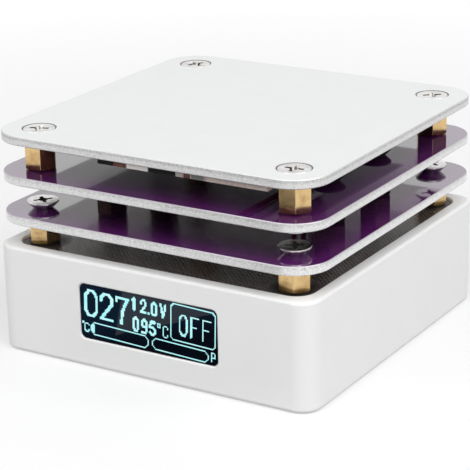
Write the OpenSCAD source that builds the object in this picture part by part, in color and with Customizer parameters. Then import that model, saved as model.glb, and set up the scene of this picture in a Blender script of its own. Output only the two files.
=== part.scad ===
// Preheating hot plate: a heating plate on two shield plates over a small white base.
// The origin is the bottom centre of the base, +Z is up, and the display faces -Y.

/* [Plates] */
// Side of the three square plates
plate_w = 68; // [64:1:76]
// Thickness of each plate
plate_t = 1.7; // [1.7:0.1:2.2]
// Corner radius of the plates
plate_r = 7; // [4:0.5:9]
// Chamfer on the edges of the plates
plate_edge = 0.15; // [0.05:0.05:0.3]
// Distance of the corner holes from the plates' edges
hole_inset = 7; // [6:0.5:8]
// Distance of the middle supports inside the corner holes, to the side
middle_inset = 3; // [2:0.5:4]
// Distance of the middle supports from the centre, to the front
middle_y = 9; // [7:0.5:12]

/* [Stack] */
// Height of the base's rim
base_h = 20.8; // [20:0.2:24]
// Depth of the board's face below the rim
deck_drop = 0.4; // [0.2:0.1:1]
// Gap between the board and the lower shield plate
lower_gap = 5; // [4.5:0.5:8]
// Gap between the two shield plates
middle_gap = 6; // [5.5:0.5:10]
// Gap between the upper shield plate and the heating plate
upper_gap = 6; // [5.5:0.5:10]

/* [Standoffs] */
// Width of the brass hexagon across its flats
hex_w = 5.5; // [5:0.1:6]
// Chamfer at the ends of the hexagon
hex_chamfer = 0.35; // [0.1:0.05:0.5]
// Solid metal left below the thread of a lower standoff
blind_floor = 1.2; // [0.8:0.1:2]
// Length of the stud below a lower standoff
stud_l = 5; // [3.5:0.5:5.5]

/* [Screws] */
// Diameter of the screws and studs
screw_d = 3; // [2.8:0.1:3.2]
// Diameter of the flat screw heads
head_d = 6; // [5.5:0.1:6.4]
// Height of the straight rim of a head
head_rim = 0.2; // [0.1:0.05:0.4]
// Overall length of the screws in the heating plate
top_screw_l = 4; // [3:0.5:4.5]
// Overall length of the screws in the shield plates
shield_screw_l = 5; // [4:0.5:5.5]
// Diameter of the plain holes in the shield plates
plain_hole_d = 3.4; // [3.3:0.1:3.8]
// Diameter of the countersinks in the heating plate
sink_d = 6.5; // [6.4:0.1:6.7]
// Length of a wing of the cross recess, tip to tip
cross_w = 3.6; // [2.4:0.1:4]
// Width of the cross recess's slots
cross_slot = 0.55; // [0.4:0.05:0.8]
// Depth of the cross recess
cross_depth = 1; // [0.5:0.1:1.2]

/* [Base] */
// Distance of the base's walls inside the plates' edges
base_inset = 0.3; // [0.1:0.1:0.6]
// Thickness of the base's walls
wall_t = 2.7; // [2.2:0.1:2.9]
// Thickness of the base's floor
floor_t = 2; // [1.2:0.1:2.5]
// Radius of the base's upright edges
base_r = 3.8; // [3.4:0.1:6]
// Radius of the opening's corners
cavity_r = 3.5; // [1:0.1:4.5]
// Fillet on the outer edge of the rim
rim_r = 0.6; // [0.2:0.1:1]
// Chamfer on the inner edge of the rim
rim_chamfer = 0.3; // [0.1:0.1:0.4]
// Fillet on the bottom edge
foot_r = 0.9; // [0.3:0.1:1.2]
// Diameter of the corner posts
post_d = 7.4; // [6.4:0.2:8]
// Thickness of the ribs between posts and walls
rib_t = 1.6; // [1:0.1:2.4]
// Outer diameter of the threaded inserts
insert_d = 4.6; // [4.2:0.1:5]
// Length of the threaded inserts
insert_l = 4; // [3:0.5:5]

/* [Display] */
// Distance of the window's ends from the sides of the base
window_side = 18.85; // [18:0.05:20]
// Height of the window's lower edge above the ground
window_sill = 5.55; // [5.2:0.05:6.5]
// Distance of the window's upper edge below the rim
window_head = 4.45; // [4:0.05:5.5]
// Corner radius of the window
window_r = 1.2; // [0.6:0.1:2]
// Chamfer round the window
window_chamfer = 0.25; // [0.1:0.05:0.4]
// Depth of the glass below the front wall's face
glass_drop = 0.25; // [0.1:0.05:0.6]
// Thickness of the display glass
glass_t = 1.4; // [1:0.1:1.4]
// Reach of the display's circuit board past each end of the window
board_side = 4.15; // [3.5:0.05:5]
// Reach of the display's circuit board above and below the window
board_lip = 0.6; // [0.3:0.1:0.9]
// Thickness of the display's circuit board
display_board_t = 1.2; // [0.8:0.1:1.6]
// Diameter of the pegs that hold the display's board
peg_d = 1.8; // [1.4:0.1:2]
// Side of the header's square bar
header_w = 2.5; // [2:0.1:3]
// Spacing of the header's pins
header_pitch = 2.54; // [2:0.02:2.6]

/* [Main board] */
// Thickness of the main board
board_t = 1.6; // [1.2:0.1:2]
// Gap between the board's edge and the walls
board_gap = 0.15; // [0.1:0.05:0.3]
// Diameter of the board's stud holes
board_hole_d = 3.3; // [3.2:0.1:3.6]
// Distance of the leads' slot from the plates' right edge
slot_inset = 19.4; // [19:0.2:24]
// Length of the leads' slot
slot_l = 9.6; // [8.6:0.2:10.4]
// Width of the leads' slot
slot_w = 3.2; // [2.4:0.1:4]

/* [Power inlets] */
// Place of the power jack, as a share of the rear wall between the corner posts
jack_place_share = 0.365; // [0.34:0.005:0.38]
// Width of the power jack's body, as a share of that wall
jack_w_share = 0.1931; // [0.18:0.0001:0.2]
// Height of the power jack's body
jack_h = 11; // [10:0.2:12]
// Length of the power jack's body behind the wall
jack_l = 10.6; // [9:0.2:12]
// Shoulder between the power jack's body and its nose
jack_shoulder = 0.5; // [0.3:0.1:0.8]
// Wall of the power jack's nose
jack_wall = 1; // [0.8:0.1:1.2]
// Diameter of the power jack's pin
jack_pin_d = 2; // [1.6:0.1:2.5]
// Depth of the power jack's bore
jack_depth = 9.5; // [8:0.1:10]
// Place of the USB-C inlet, as a share of the rear wall between the corner posts
usb_place_share = 0.107; // [0.095:0.001:0.125]
// Width of the USB-C inlet's shell, as a share of that wall
usb_w_share = 0.1918; // [0.185:0.0001:0.195]
// Height of the USB-C inlet's shell
usb_h = 3.26; // [3.1:0.02:3.3]
// Length of the USB-C inlet's shell
usb_l = 7.3; // [6.5:0.1:8.5]
// Thickness of the USB-C inlet's shell
usb_t = 0.3; // [0.2:0.05:0.35]

/* [Buttons] */
// Place of the middle button, as a share of the rear wall between the corner posts
button_place_share = 0.2575; // [0.245:0.0005:0.265]
// Spacing of the three buttons, as a share of that wall
button_pitch_share = 0.161; // [0.155:0.001:0.165]
// Diameter of the buttons, as a share of their spacing
button_d_share = 0.507; // [0.4:0.001:0.54]
// Height of a button above the rear wall
button_proud = 0.2; // [0.1:0.05:0.3]
// Diameter of the buttons' inner flange, as a share of their spacing
flange_d_share = 0.747; // [0.7:0.001:0.79]
// Thickness of the buttons' inner flange
flange_t = 0.8; // [0.5:0.1:1.2]
// Travel of a button
button_travel = 0.3; // [0.2:0.05:0.4]
// Clearance round the moving buttons
button_gap = 0.3; // [0.25:0.05:0.4]
// Gap between two switch bodies
switch_gap = 1.5; // [1.2:0.1:2.5]
// Depth of a switch body
switch_l = 3.5; // [3:0.1:5]
// Height of a switch body
switch_h = 7.2; // [6.8:0.1:8]
// Distance of the buttons' axis below the board
switch_axis = 4.2; // [3.6:0.1:4.4]

/* [Heater] */
// Distance of the underside parts from the heating plate's front edge
row_inset = 1; // [0.6:0.1:3]
// Height of the underside parts
row_h = 1.1; // [0.8:0.1:1.6]
// Depth of the underside parts
row_l = 2; // [1.4:0.1:3]
// Gap between neighbours in the row
row_gap = 0.1; // [0.1:0.05:0.3]
// Distance of the row's right end from the plate's right edge
row_end_inset = 8.8; // [7:0.2:10]
// Diameter of the heater leads
heater_lead_d = 1.7; // [1.2:0.1:1.9]
// Diameter of the sensor leads
sensor_lead_d = 1; // [0.8:0.1:1.2]
// Spacing of the leads in the slot
lead_pitch = 2.1; // [2:0.05:2.2]

/* [Hidden] */
$fn = 48;
// Overrun of every cut past the face it opens
over = 0.5;
// Radial clearance of a thread in its bore, and of an insert in its hole
thread_gap = 0.05;
// Gap between a fixed piece and the wall it sits in
seat_gap = 0.15;
// Gap between a lead and the face that it lies along
lead_touch = 0.05;
// Space left below an insert for the end of the stud
insert_well = 0.5;
// Length of a peg past the display's board
peg_head = 0.4;
// Pins of the display's header, and the side of a pin
header_count = 4;
pin_w = 0.64;
// Turn of the cross recess from the plates' edges
cross_turn = 20;
// Depth of the wings and width of the middle cone, as shares of the recess
cross_wing_share = 0.7;
cross_cone_share = 0.6;
// Button stem, as a share of the button's diameter
stem_share = 0.6;
// Height of the jack's axis below the board, as a share of the jack's height
jack_axis_share = 0.58;
// Width of the jack pin's tip, as a share of the pin
pin_tip_share = 0.5;
// Edge left bare round the display's tape, as a share of its size
tape_margin_share = 0.06;
// Width, height and length of the USB-C tongue, as shares of its shell
tongue_w_share = 0.75;
tongue_h_share = 0.21;
tongue_l_share = 0.82;
// Length of a lead's tail below the board, in lead diameters
tail_share = 3;
// Place of a sensor lead along its half of the chip
sensor_pad_share = 0.5;

// Widths of the parts in the row below the heating plate, from the left end
sensor_chip_w = 3.3;
sensor_tab_w = 2.6;
wide_ceramic_w = 4.7;
fuse_w = 5.5;
narrow_ceramic_w = 1.6;
fuse_tab_w = 1.2;
grey_ceramic_w = 3;
terminal_w = 12.4;
row_widths = [sensor_chip_w, sensor_tab_w, wide_ceramic_w, fuse_w, narrow_ceramic_w, fuse_tab_w,
    grey_ceramic_w, terminal_w];

// Chips below the main board: their places, sizes and legs
chip_x = -9;
chip_y = -10;
chip_w = 7;
chip_t = 1.5;
leg_count = 8;
leg_w = 0.22;
leg_t = 0.15;
leg_out = 1;
leg_in = 0.4;
transistor_x = 6;
transistor_y = -13;
transistor_w = 6.6;
transistor_l = 6.1;
transistor_t = 2.3;
transistor_tab = 1.2;
transistor_leg_w = 0.8;
inductor_x = -1;
inductor_y = 12;
inductor_w = 7;
inductor_t = 3.5;
inductor_r = 1.4;
inductor_pad_w = 2.4;
inductor_pad_t = 0.3;
capacitor_x = -13;
capacitor_y = 9;
capacitor_d = 6.3;
capacitor_h = 7.7;
capacitor_base_t = 1;
capacitor_base_w = 6.6;
capacitor_cut = 1.3;

deck_z = base_h - deck_drop;
board_z = deck_z - board_t;
lower_z = deck_z + lower_gap;
upper_z = lower_z + plate_t + middle_gap;
heat_z = upper_z + plate_t + upper_gap;
top_z = heat_z + plate_t;
base_w = plate_w - 2 * base_inset;
base_half = base_w / 2;
wall_in = base_half - wall_t;
board_half = wall_in - board_gap;
corner = plate_w / 2 - hole_inset;
middle_x = corner - middle_inset;
corner_places = [for (sx = [-1, 1], sy = [-1, 1]) [sx * corner, sy * corner]];
middle_places = [for (sx = [-1, 1], sy = [-1, 1]) [sx * middle_x, sy * middle_y]];
thread_bore_d = screw_d + 2 * thread_gap;
// A flat head's cone falls at 45 degrees from its rim to the shank
head_cone_h = (head_d - screw_d) / 2;
// A head stands proud where its cone meets the edge of a plain hole
head_proud = (head_d - plain_hole_d) / 2 + head_rim;
// A head in a countersink stops where its cone meets the wider cone
head_sunk = (sink_d - head_d) / 2 - head_rim;
// The window and the display's board keep their distances from the rim, the ground and the sides
window_w = base_w - 2 * window_side;
window_h = base_h - window_head - window_sill;
window_z = window_sill + window_h / 2;
display_board_w = window_w + 2 * board_side;
display_board_h = window_h + 2 * board_lip;
// The rear wall between the corner posts is shared out among the inlets and the buttons
bay_w = 2 * corner - post_d;
button_pitch = bay_w * button_pitch_share;
button_x = bay_w * button_place_share;
switch_w = button_pitch - switch_gap;
flange_d = button_pitch * flange_d_share;
button_d = button_pitch * button_d_share;
button_z = board_z - switch_axis;
switch_face = wall_in - button_gap - flange_t - 2 * button_gap;
stem_d = button_d * stem_share;
stem_in = button_travel + button_gap;
usb_x = -bay_w * usb_place_share;
usb_w = bay_w * usb_w_share;
usb_z = board_z - usb_h / 2;
usb_mouth = base_half - seat_gap;
jack_x = -bay_w * jack_place_share;
jack_w = bay_w * jack_w_share;
jack_nose_d = jack_w - 2 * jack_shoulder;
jack_bore_d = jack_nose_d - 2 * jack_wall;
jack_z = board_z - jack_h * jack_axis_share;
jack_mouth = base_half - seat_gap;
tape_t = wall_t - glass_drop - glass_t;
peg_x = display_board_w / 2 - peg_d;
peg_z = display_board_h / 2 - peg_d;
peg_l = display_board_t + peg_head;
row_front = plate_w / 2 - row_inset;
row_back = row_front - row_l;
slot_x = plate_w / 2 - slot_inset;
lead_x = slot_x - lead_pitch * 3 / 2;

// Square with round corners, centred on the origin
module round_rect(w, h, r) {
    square([w - 2 * r, h], center = true);
    square([w, h - 2 * r], center = true);
    for (sx = [-1, 1], sy = [-1, 1])
        translate([sx * (w / 2 - r), sy * (h / 2 - r)])
            circle(r);
}

// Plate with round corners that stands on z = 0
module round_slab(w, h, r, t) {
    linear_extrude(t)
        round_rect(w, h, r);
}

// Sweeps a profile round a rectangle with round corners; the profile's x counts from the arc's centre
module frame_sweep(w, h, r) {
    for (turn = [0:3]) {
        along = turn % 2 == 0 ? h : w;
        across = turn % 2 == 0 ? w : h;
        rotate([0, 0, 90 * turn]) {
            translate([across / 2 - r, along / 2 - r, 0])
                rotate([90, 0, 0])
                    linear_extrude(along - 2 * r)
                        children();
            translate([across / 2 - r, along / 2 - r, 0])
                rotate_extrude(angle = 90)
                    children();
        }
    }
}

// Wall profile of the base with a fillet at the rim and one at the foot
module shell_profile() {
    difference() {
        square([base_r, base_h]);
        translate([base_r - foot_r, 0])
            square([foot_r, foot_r]);
        translate([base_r - rim_r, base_h - rim_r])
            square([rim_r, rim_r]);
    }
    intersection() {
        translate([base_r - foot_r, foot_r])
            circle(foot_r);
        translate([base_r - foot_r, 0])
            square([foot_r, foot_r]);
    }
    intersection() {
        translate([base_r - rim_r, base_h - rim_r])
            circle(rim_r);
        translate([base_r - rim_r, base_h - rim_r])
            square([rim_r, rim_r]);
    }
}

// Outer block of the base before it is hollowed
module shell_block() {
    core = base_w - 2 * base_r;
    frame_sweep(base_w, base_w, base_r)
        shell_profile();
    translate([-core / 2, -core / 2, 0])
        cube([core, core, base_h]);
}

// Opening of the base, with a chamfer along its upper edge
module cavity() {
    reach = rim_chamfer + over;
    translate([0, 0, floor_t])
        round_slab(2 * wall_in, 2 * wall_in, cavity_r, base_h);
    frame_sweep(2 * wall_in, 2 * wall_in, cavity_r)
        polygon([[cavity_r - over / 2, base_h - rim_chamfer - over / 2],
            [cavity_r + reach, base_h + over],
            [cavity_r - over / 2, base_h + over]]);
}

// Display window, with a chamfer where it opens on the front face
module window_cut() {
    reach = window_chamfer + over;
    translate([0, -base_half, window_z])
        rotate([90, 0, 0]) {
            translate([0, 0, -wall_t - over])
                round_slab(window_w, window_h, window_r, wall_t + 2 * over);
            frame_sweep(window_w, window_h, window_r)
                polygon([[window_r - over / 2, -window_chamfer - over / 2],
                    [window_r + reach, over],
                    [window_r - over / 2, over]]);
        }
}

// Level round hole through the rear wall
module rear_hole(x, z, d) {
    translate([x, wall_in - over, z])
        rotate([-90, 0, 0])
            cylinder(d = d, h = wall_t + 2 * over);
}

// Slot with round ends, as wide as its ends are round
module stadium(w, h) {
    square([w - h, h], center = true);
    for (side = [-1, 1])
        translate([side * (w - h) / 2, 0])
            circle(d = h);
}

module corner_post(x, y) {
    translate([x, y, 0])
        cylinder(d = post_d, h = board_z);
    side_x = sign(x);
    side_y = sign(y);
    reach = wall_in + over - corner;
    translate([x + (side_x > 0 ? 0 : -reach), y - rib_t / 2, 0])
        cube([reach, rib_t, board_z]);
    translate([x - rib_t / 2, y + (side_y > 0 ? 0 : -reach), 0])
        cube([rib_t, reach, board_z]);
}

module base_housing() {
    color("whitesmoke")
        difference() {
            union() {
                difference() {
                    shell_block();
                    cavity();
                }
                intersection() {
                    for (p = corner_places)
                        corner_post(p[0], p[1]);
                    translate([0, 0, floor_t / 2])
                        round_slab(base_w - wall_t, base_w - wall_t, base_r, base_h);
                }
                for (sx = [-1, 1], sz = [-1, 1])
                    translate([sx * peg_x, -wall_in - wall_t / 2, window_z + sz * peg_z])
                        rotate([-90, 0, 0])
                            cylinder(d = peg_d, h = peg_l + wall_t / 2);
            }
            for (p = corner_places)
                translate([p[0], p[1], board_z - insert_l - insert_well])
                    cylinder(d = insert_d + 2 * thread_gap, h = insert_l + insert_well + over);
            window_cut();
            rear_hole(jack_x, jack_z, jack_nose_d + 2 * seat_gap);
            for (step = [-1:1])
                rear_hole(button_x + step * button_pitch, button_z, button_d + 2 * button_gap);
            translate([usb_x, wall_in - over, usb_z])
                rotate([-90, 0, 0])
                    linear_extrude(wall_t + 2 * over)
                        stadium(usb_w + 2 * seat_gap, usb_h + 2 * seat_gap);
        }
}

module threaded_inserts() {
    color("goldenrod")
        for (p = corner_places)
            translate([p[0], p[1], board_z - insert_l])
                difference() {
                    cylinder(d = insert_d, h = insert_l);
                    translate([0, 0, -over])
                        cylinder(d = thread_bore_d, h = insert_l + 2 * over);
                }
}

// Slot that the leads pass through, in every board below the heating plate
module lead_slot(t) {
    translate([slot_x, 0, -over])
        linear_extrude(t + 2 * over)
            stadium(slot_l, slot_w);
}

module main_board() {
    color("darkslategray")
        translate([0, 0, board_z])
            difference() {
                round_slab(2 * board_half, 2 * board_half, cavity_r, board_t);
                for (p = corner_places)
                    translate([p[0], p[1], -over])
                        cylinder(d = board_hole_d, h = board_t + 2 * over);
                lead_slot(board_t);
            }
}

// Hexagon with turned ends, standing on z = 0
module hex_body(length) {
    tip_r = hex_w / sqrt(3);
    end_r = tip_r - hex_chamfer / tan(30);
    intersection() {
        cylinder(r = tip_r, h = length, $fn = 6);
        rotate_extrude()
            polygon([[0, 0], [end_r, 0], [tip_r, hex_chamfer], [tip_r, length - hex_chamfer],
                [end_r, length], [0, length]]);
    }
}

module through_standoff(length) {
    difference() {
        hex_body(length);
        translate([0, 0, -over])
            cylinder(d = thread_bore_d, h = length + 2 * over);
    }
}

module lower_standoffs() {
    color("goldenrod")
        for (p = corner_places)
            translate([p[0], p[1], deck_z]) {
                difference() {
                    hex_body(lower_gap);
                    translate([0, 0, blind_floor])
                        cylinder(d = thread_bore_d, h = lower_gap);
                }
                translate([0, 0, -stud_l])
                    cylinder(d = screw_d, h = stud_l);
            }
}

module middle_standoffs() {
    color("goldenrod")
        for (p = middle_places)
            translate([p[0], p[1], lower_z + plate_t])
                through_standoff(middle_gap);
}

module upper_standoffs() {
    color("goldenrod")
        for (p = corner_places)
            translate([p[0], p[1], upper_z + plate_t])
                through_standoff(upper_gap);
}

// Blank of a plate, with a small chamfer round its upper and lower edges
module plate_blank() {
    inner = plate_r - plate_edge - over / 2;
    outer = plate_r + over / 2;
    difference() {
        round_slab(plate_w, plate_w, plate_r, plate_t);
        frame_sweep(plate_w, plate_w, plate_r)
            polygon([[inner, plate_t + over / 2], [outer, plate_t - plate_edge - over / 2],
                [outer, plate_t + over / 2]]);
        frame_sweep(plate_w, plate_w, plate_r)
            polygon([[inner, -over / 2], [outer, plate_edge + over / 2], [outer, -over / 2]]);
    }
}

// Shield plate with plain holes at its corners and at the middle supports
module shield_plate() {
    difference() {
        plate_blank();
        for (p = concat(corner_places, middle_places))
            translate([p[0], p[1], -over])
                cylinder(d = plain_hole_d, h = plate_t + 2 * over);
        lead_slot(plate_t);
    }
}

module lower_shield_plate() {
    color("rebeccapurple")
        translate([0, 0, lower_z])
            shield_plate();
}

module upper_shield_plate() {
    color("rebeccapurple")
        translate([0, 0, upper_z])
            shield_plate();
}

// Flat-head screw that points down from the middle of its head's face
module flat_screw(length) {
    difference() {
        union() {
            translate([0, 0, -head_rim])
                cylinder(d = head_d, h = head_rim);
            translate([0, 0, -head_rim - head_cone_h])
                cylinder(d1 = screw_d, d2 = head_d, h = head_cone_h);
            translate([0, 0, -length])
                cylinder(d = screw_d, h = length - head_rim - head_cone_h);
        }
        cross_recess();
    }
}

// Cross recess with square slots and a pointed middle
module cross_recess() {
    for (turn = [0, 90])
        rotate([0, 0, turn + cross_turn])
            translate([-cross_w / 2, -cross_slot / 2, -cross_depth * cross_wing_share])
                cube([cross_w, cross_slot, cross_depth]);
    translate([0, 0, -cross_depth])
        cylinder(d1 = cross_slot, d2 = cross_w * cross_cone_share, h = cross_depth + over);
}

// Screws that stand proud of a shield plate's upper or lower face
module shield_screws(places, face, up) {
    color("silver")
        for (p = places)
            translate([p[0], p[1], face])
                rotate([up ? 0 : 180, 0, 0])
                    translate([0, 0, head_proud])
                        flat_screw(shield_screw_l);
}

module lower_plate_screws() {
    shield_screws(corner_places, lower_z + plate_t, true);
}

module middle_lower_screws() {
    shield_screws(middle_places, lower_z, false);
}

module middle_upper_screws() {
    shield_screws(middle_places, upper_z + plate_t, true);
}

module upper_plate_screws() {
    shield_screws(corner_places, upper_z, false);
}

module heating_plate() {
    sink_h = (sink_d - plain_hole_d) / 2;
    color("gainsboro")
        translate([0, 0, heat_z])
            difference() {
                plate_blank();
                for (p = corner_places)
                    translate([p[0], p[1], 0]) {
                        translate([0, 0, -over])
                            cylinder(d = plain_hole_d, h = plate_t + 2 * over);
                        translate([0, 0, plate_t - sink_h])
                            cylinder(d1 = plain_hole_d, d2 = sink_d + 2 * over, h = sink_h + over);
                    }
            }
}

module heating_plate_screws() {
    color("silver")
        for (p = corner_places)
            translate([p[0], p[1], top_z - head_sunk])
                flat_screw(top_screw_l);
}

// Left end of a part in the row, before the parts to its right
function row_start(index) = index == len(row_widths) - 1
    ? plate_w / 2 - row_end_inset - row_widths[index]
    : row_start(index + 1) - row_gap - row_widths[index];

// Block soldered below the heating plate, near its front edge
module row_block(index) {
    translate([row_start(index), -row_front, heat_z - row_h])
        cube([row_widths[index], row_l, row_h]);
}

module sensor_chip() {
    color("black")
        row_block(0);
}

module copper_tabs() {
    color("sienna")
        for (index = [1, 5])
            row_block(index);
}

module ceramic_chips() {
    color("linen")
        for (index = [2, 4, 6])
            row_block(index);
}

module thermal_fuse() {
    color("black")
        row_block(3);
}

module heater_terminal() {
    color("tan")
        row_block(7);
}

// Tube that starts along +Z; each step is a straight length and the way that the next bend turns
module lead_path(steps, d, bend, index = 0) {
    straight = steps[index][0];
    cylinder(d = d, h = straight, $fn = 24);
    if (index < len(steps) - 1)
        translate([0, 0, straight])
            rotate([0, 0, steps[index][1]]) {
                mirror([1, 0, 0])
                    translate([-bend, 0, 0])
                        rotate([90, 0, 0])
                            rotate_extrude(angle = 90, $fn = 24)
                                translate([bend, 0])
                                    circle(d = d, $fn = 24);
                translate([bend, 0, bend])
                    rotate([0, 90, 0])
                        lead_path(steps, d, bend, index + 1);
            }
}

// Height of a lead's middle below the board, and its straight rise to below the heating plate
function lead_low(d) = board_z - lead_touch - d / 2;
function lead_rise(d, bend) = heat_z - lead_touch - d / 2 - lead_low(d) - 2 * bend;

// Two leads from the board, up through the slot and forward to the heater's terminal
module heater_leads() {
    bend = heater_lead_d;
    tail = heater_lead_d * tail_share;
    run = row_back - lead_touch - bend;
    color("white")
        for (step = [2, 3])
            translate([lead_x + step * lead_pitch, tail + bend, lead_low(heater_lead_d)])
                rotate([90, 0, 0])
                    lead_path([[tail, 90], [lead_rise(heater_lead_d, bend), 180], [run, 0]],
                        heater_lead_d, bend);
}

// Two thin leads that turn aside below the heating plate, one in front of the other
module sensor_leads() {
    bend = sensor_lead_d;
    tail = sensor_lead_d * tail_share;
    end = row_back - lead_touch;
    color("firebrick")
        for (step = [0, 1]) {
            x = lead_x + step * lead_pitch;
            target = row_start(0) + sensor_chip_w * (step + sensor_pad_share) / 2;
            lane = end - bend - sensor_lead_d / 2 - (1 - step) * lead_pitch;
            translate([x, tail + bend, lead_low(sensor_lead_d)])
                rotate([90, 0, 0])
                    lead_path([[tail, 90], [lead_rise(sensor_lead_d, bend), 180],
                        [lane - 2 * bend, -90], [x - target - 2 * bend, 180],
                        [end - lane - bend, 0]], sensor_lead_d, bend);
        }
}

module display_glass() {
    color("black")
        translate([0, -base_half + glass_drop, window_z])
            rotate([-90, 0, 0])
                round_slab(window_w - 2 * seat_gap, window_h - 2 * seat_gap, window_r - seat_gap, glass_t);
}

module display_tape() {
    w = window_w * (1 - 2 * tape_margin_share);
    h = window_h * (1 - 2 * tape_margin_share);
    color("dimgray")
        translate([-w / 2, -wall_in - tape_t, window_z - h / 2])
            cube([w, tape_t, h]);
}

module display_board() {
    color("midnightblue")
        difference() {
            translate([-display_board_w / 2, -wall_in, window_z - display_board_h / 2])
                cube([display_board_w, display_board_t, display_board_h]);
            for (sx = [-1, 1], sz = [-1, 1])
                translate([sx * peg_x, -wall_in - over, window_z + sz * peg_z])
                    rotate([-90, 0, 0])
                        cylinder(d = peg_d + 2 * thread_gap, h = display_board_t + 2 * over);
        }
}

module display_header() {
    bar_w = header_count * header_pitch;
    top = window_z + display_board_h / 2;
    color("dimgray") {
        translate([-bar_w / 2, -wall_in + display_board_t, top - header_w])
            cube([bar_w, header_w, header_w]);
        for (pin = [0:header_count - 1])
            translate([(pin - (header_count - 1) / 2) * header_pitch - pin_w / 2,
                -wall_in + display_board_t + (header_w - pin_w) / 2, top])
                cube([pin_w, pin_w, board_z - top]);
    }
}

module power_jack() {
    color("dimgray")
        difference() {
            union() {
                translate([jack_x - jack_w / 2, wall_in - jack_l, board_z - jack_h])
                    cube([jack_w, jack_l, jack_h]);
                translate([jack_x, wall_in - over, jack_z])
                    rotate([-90, 0, 0])
                        cylinder(d = jack_nose_d, h = jack_mouth - wall_in + over);
            }
            translate([jack_x, jack_mouth - jack_depth, jack_z])
                rotate([-90, 0, 0])
                    cylinder(d = jack_bore_d, h = jack_depth + over);
        }
}

module jack_pin() {
    tip = jack_pin_d * pin_tip_share;
    color("silver")
        translate([jack_x, jack_mouth - jack_depth, jack_z])
            rotate([-90, 0, 0]) {
                cylinder(d = jack_pin_d, h = jack_depth - 2 * tip);
                translate([0, 0, jack_depth - 2 * tip])
                    cylinder(d1 = jack_pin_d, d2 = tip, h = tip / 2);
            }
}

module usb_shell() {
    color("silver")
        translate([usb_x, usb_mouth - usb_l, usb_z])
            rotate([-90, 0, 0])
                difference() {
                    linear_extrude(usb_l)
                        stadium(usb_w, usb_h);
                    translate([0, 0, usb_t])
                        linear_extrude(usb_l)
                            stadium(usb_w - 2 * usb_t, usb_h - 2 * usb_t);
                }
}

module usb_tongue() {
    color("dimgray")
        translate([usb_x - usb_w * tongue_w_share / 2, usb_mouth - usb_l + usb_t,
            usb_z - usb_h * tongue_h_share / 2])
            cube([usb_w * tongue_w_share, usb_l * tongue_l_share, usb_h * tongue_h_share]);
}

module switch_bodies() {
    color("dimgray")
        for (step = [-1:1])
            translate([button_x + step * button_pitch, switch_face, button_z])
                difference() {
                    translate([-switch_w / 2, -switch_l, board_z - button_z - switch_h])
                        cube([switch_w, switch_l, switch_h]);
                    translate([0, -stem_in - button_gap - button_travel, 0])
                        rotate([-90, 0, 0])
                            cylinder(d = stem_d + 2 * button_gap, h = switch_l + over);
                }
}

// Button with a flange behind the wall and a stem that reaches into its switch
module button(step) {
    color("whitesmoke")
        translate([button_x + step * button_pitch, switch_face, button_z])
            rotate([-90, 0, 0]) {
                flange_back = 2 * button_gap;
                translate([0, 0, -stem_in])
                    cylinder(d = stem_d, h = stem_in + flange_back + flange_t / 2);
                translate([0, 0, flange_back])
                    cylinder(d = flange_d, h = flange_t);
                translate([0, 0, flange_back])
                    cylinder(d = button_d, h = base_half + button_proud - switch_face - flange_back);
            }
}

module minus_button() {
    button(-1);
}

module set_button() {
    button(0);
}

module plus_button() {
    button(1);
}

// Chip with a row of flat legs along each side
module control_chip() {
    leg_pitch = chip_w / leg_count;
    color("black")
        translate([chip_x, chip_y, board_z - chip_t]) {
            translate([-chip_w / 2, -chip_w / 2, 0])
                cube([chip_w, chip_w, chip_t - leg_t]);
            for (turn = [0:3], leg = [0:leg_count - 1])
                rotate([0, 0, 90 * turn])
                    translate([chip_w / 2 - leg_in, (leg + 1 / 2) * leg_pitch - chip_w / 2 - leg_w / 2,
                        chip_t - leg_t])
                        cube([leg_out + leg_in, leg_w, leg_t]);
        }
}

module power_transistor() {
    color("black")
        translate([transistor_x, transistor_y, board_z]) {
            translate([-transistor_w / 2, -transistor_l / 2, -transistor_t])
                cube([transistor_w, transistor_l, transistor_t - leg_t]);
            translate([-transistor_w / 2 + leg_in, -transistor_l / 2, -leg_t])
                cube([transistor_w - 2 * leg_in, transistor_l + transistor_tab, leg_t]);
            for (side = [-1, 1])
                translate([side * transistor_w / 3 - transistor_leg_w / 2,
                    -transistor_l / 2 - transistor_tab, -leg_t])
                    cube([transistor_leg_w, transistor_l / 2, leg_t]);
        }
}

module inductor() {
    color("slategray")
        translate([inductor_x, inductor_y, board_z - inductor_t]) {
            round_slab(inductor_w, inductor_w, inductor_r, inductor_t - inductor_pad_t);
            for (side = [-1, 1])
                translate([side * (inductor_w - inductor_pad_w) / 2 - inductor_pad_w / 2,
                    -inductor_pad_w / 2, inductor_t - inductor_pad_t])
                    cube([inductor_pad_w, inductor_pad_w, inductor_pad_t]);
        }
}

module capacitor_can() {
    color("silver")
        translate([capacitor_x, capacitor_y, board_z - capacitor_h])
            cylinder(d = capacitor_d, h = capacitor_h - capacitor_base_t);
}

// Square seat of the capacitor with two corners cut off
module capacitor_base() {
    half = capacitor_base_w / 2;
    color("dimgray")
        translate([capacitor_x, capacitor_y, board_z - capacitor_base_t])
            linear_extrude(capacitor_base_t)
                polygon([[-half, -half], [half - capacitor_cut, -half], [half, capacitor_cut - half],
                    [half, half - capacitor_cut], [half - capacitor_cut, half], [-half, half]]);
}

base_housing();
threaded_inserts();
main_board();
lower_standoffs();
lower_shield_plate();
lower_plate_screws();
middle_standoffs();
middle_lower_screws();
middle_upper_screws();
upper_shield_plate();
upper_plate_screws();
upper_standoffs();
heating_plate();
heating_plate_screws();
sensor_chip();
copper_tabs();
ceramic_chips();
thermal_fuse();
heater_terminal();
heater_leads();
sensor_leads();
display_glass();
display_tape();
display_board();
display_header();
power_jack();
jack_pin();
usb_shell();
usb_tongue();
switch_bodies();
minus_button();
set_button();
plus_button();
control_chip();
power_transistor();
inductor();
capacitor_can();
capacitor_base();
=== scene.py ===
"""Looks of a small preheating hot plate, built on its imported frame. Lengths are in metres."""

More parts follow.
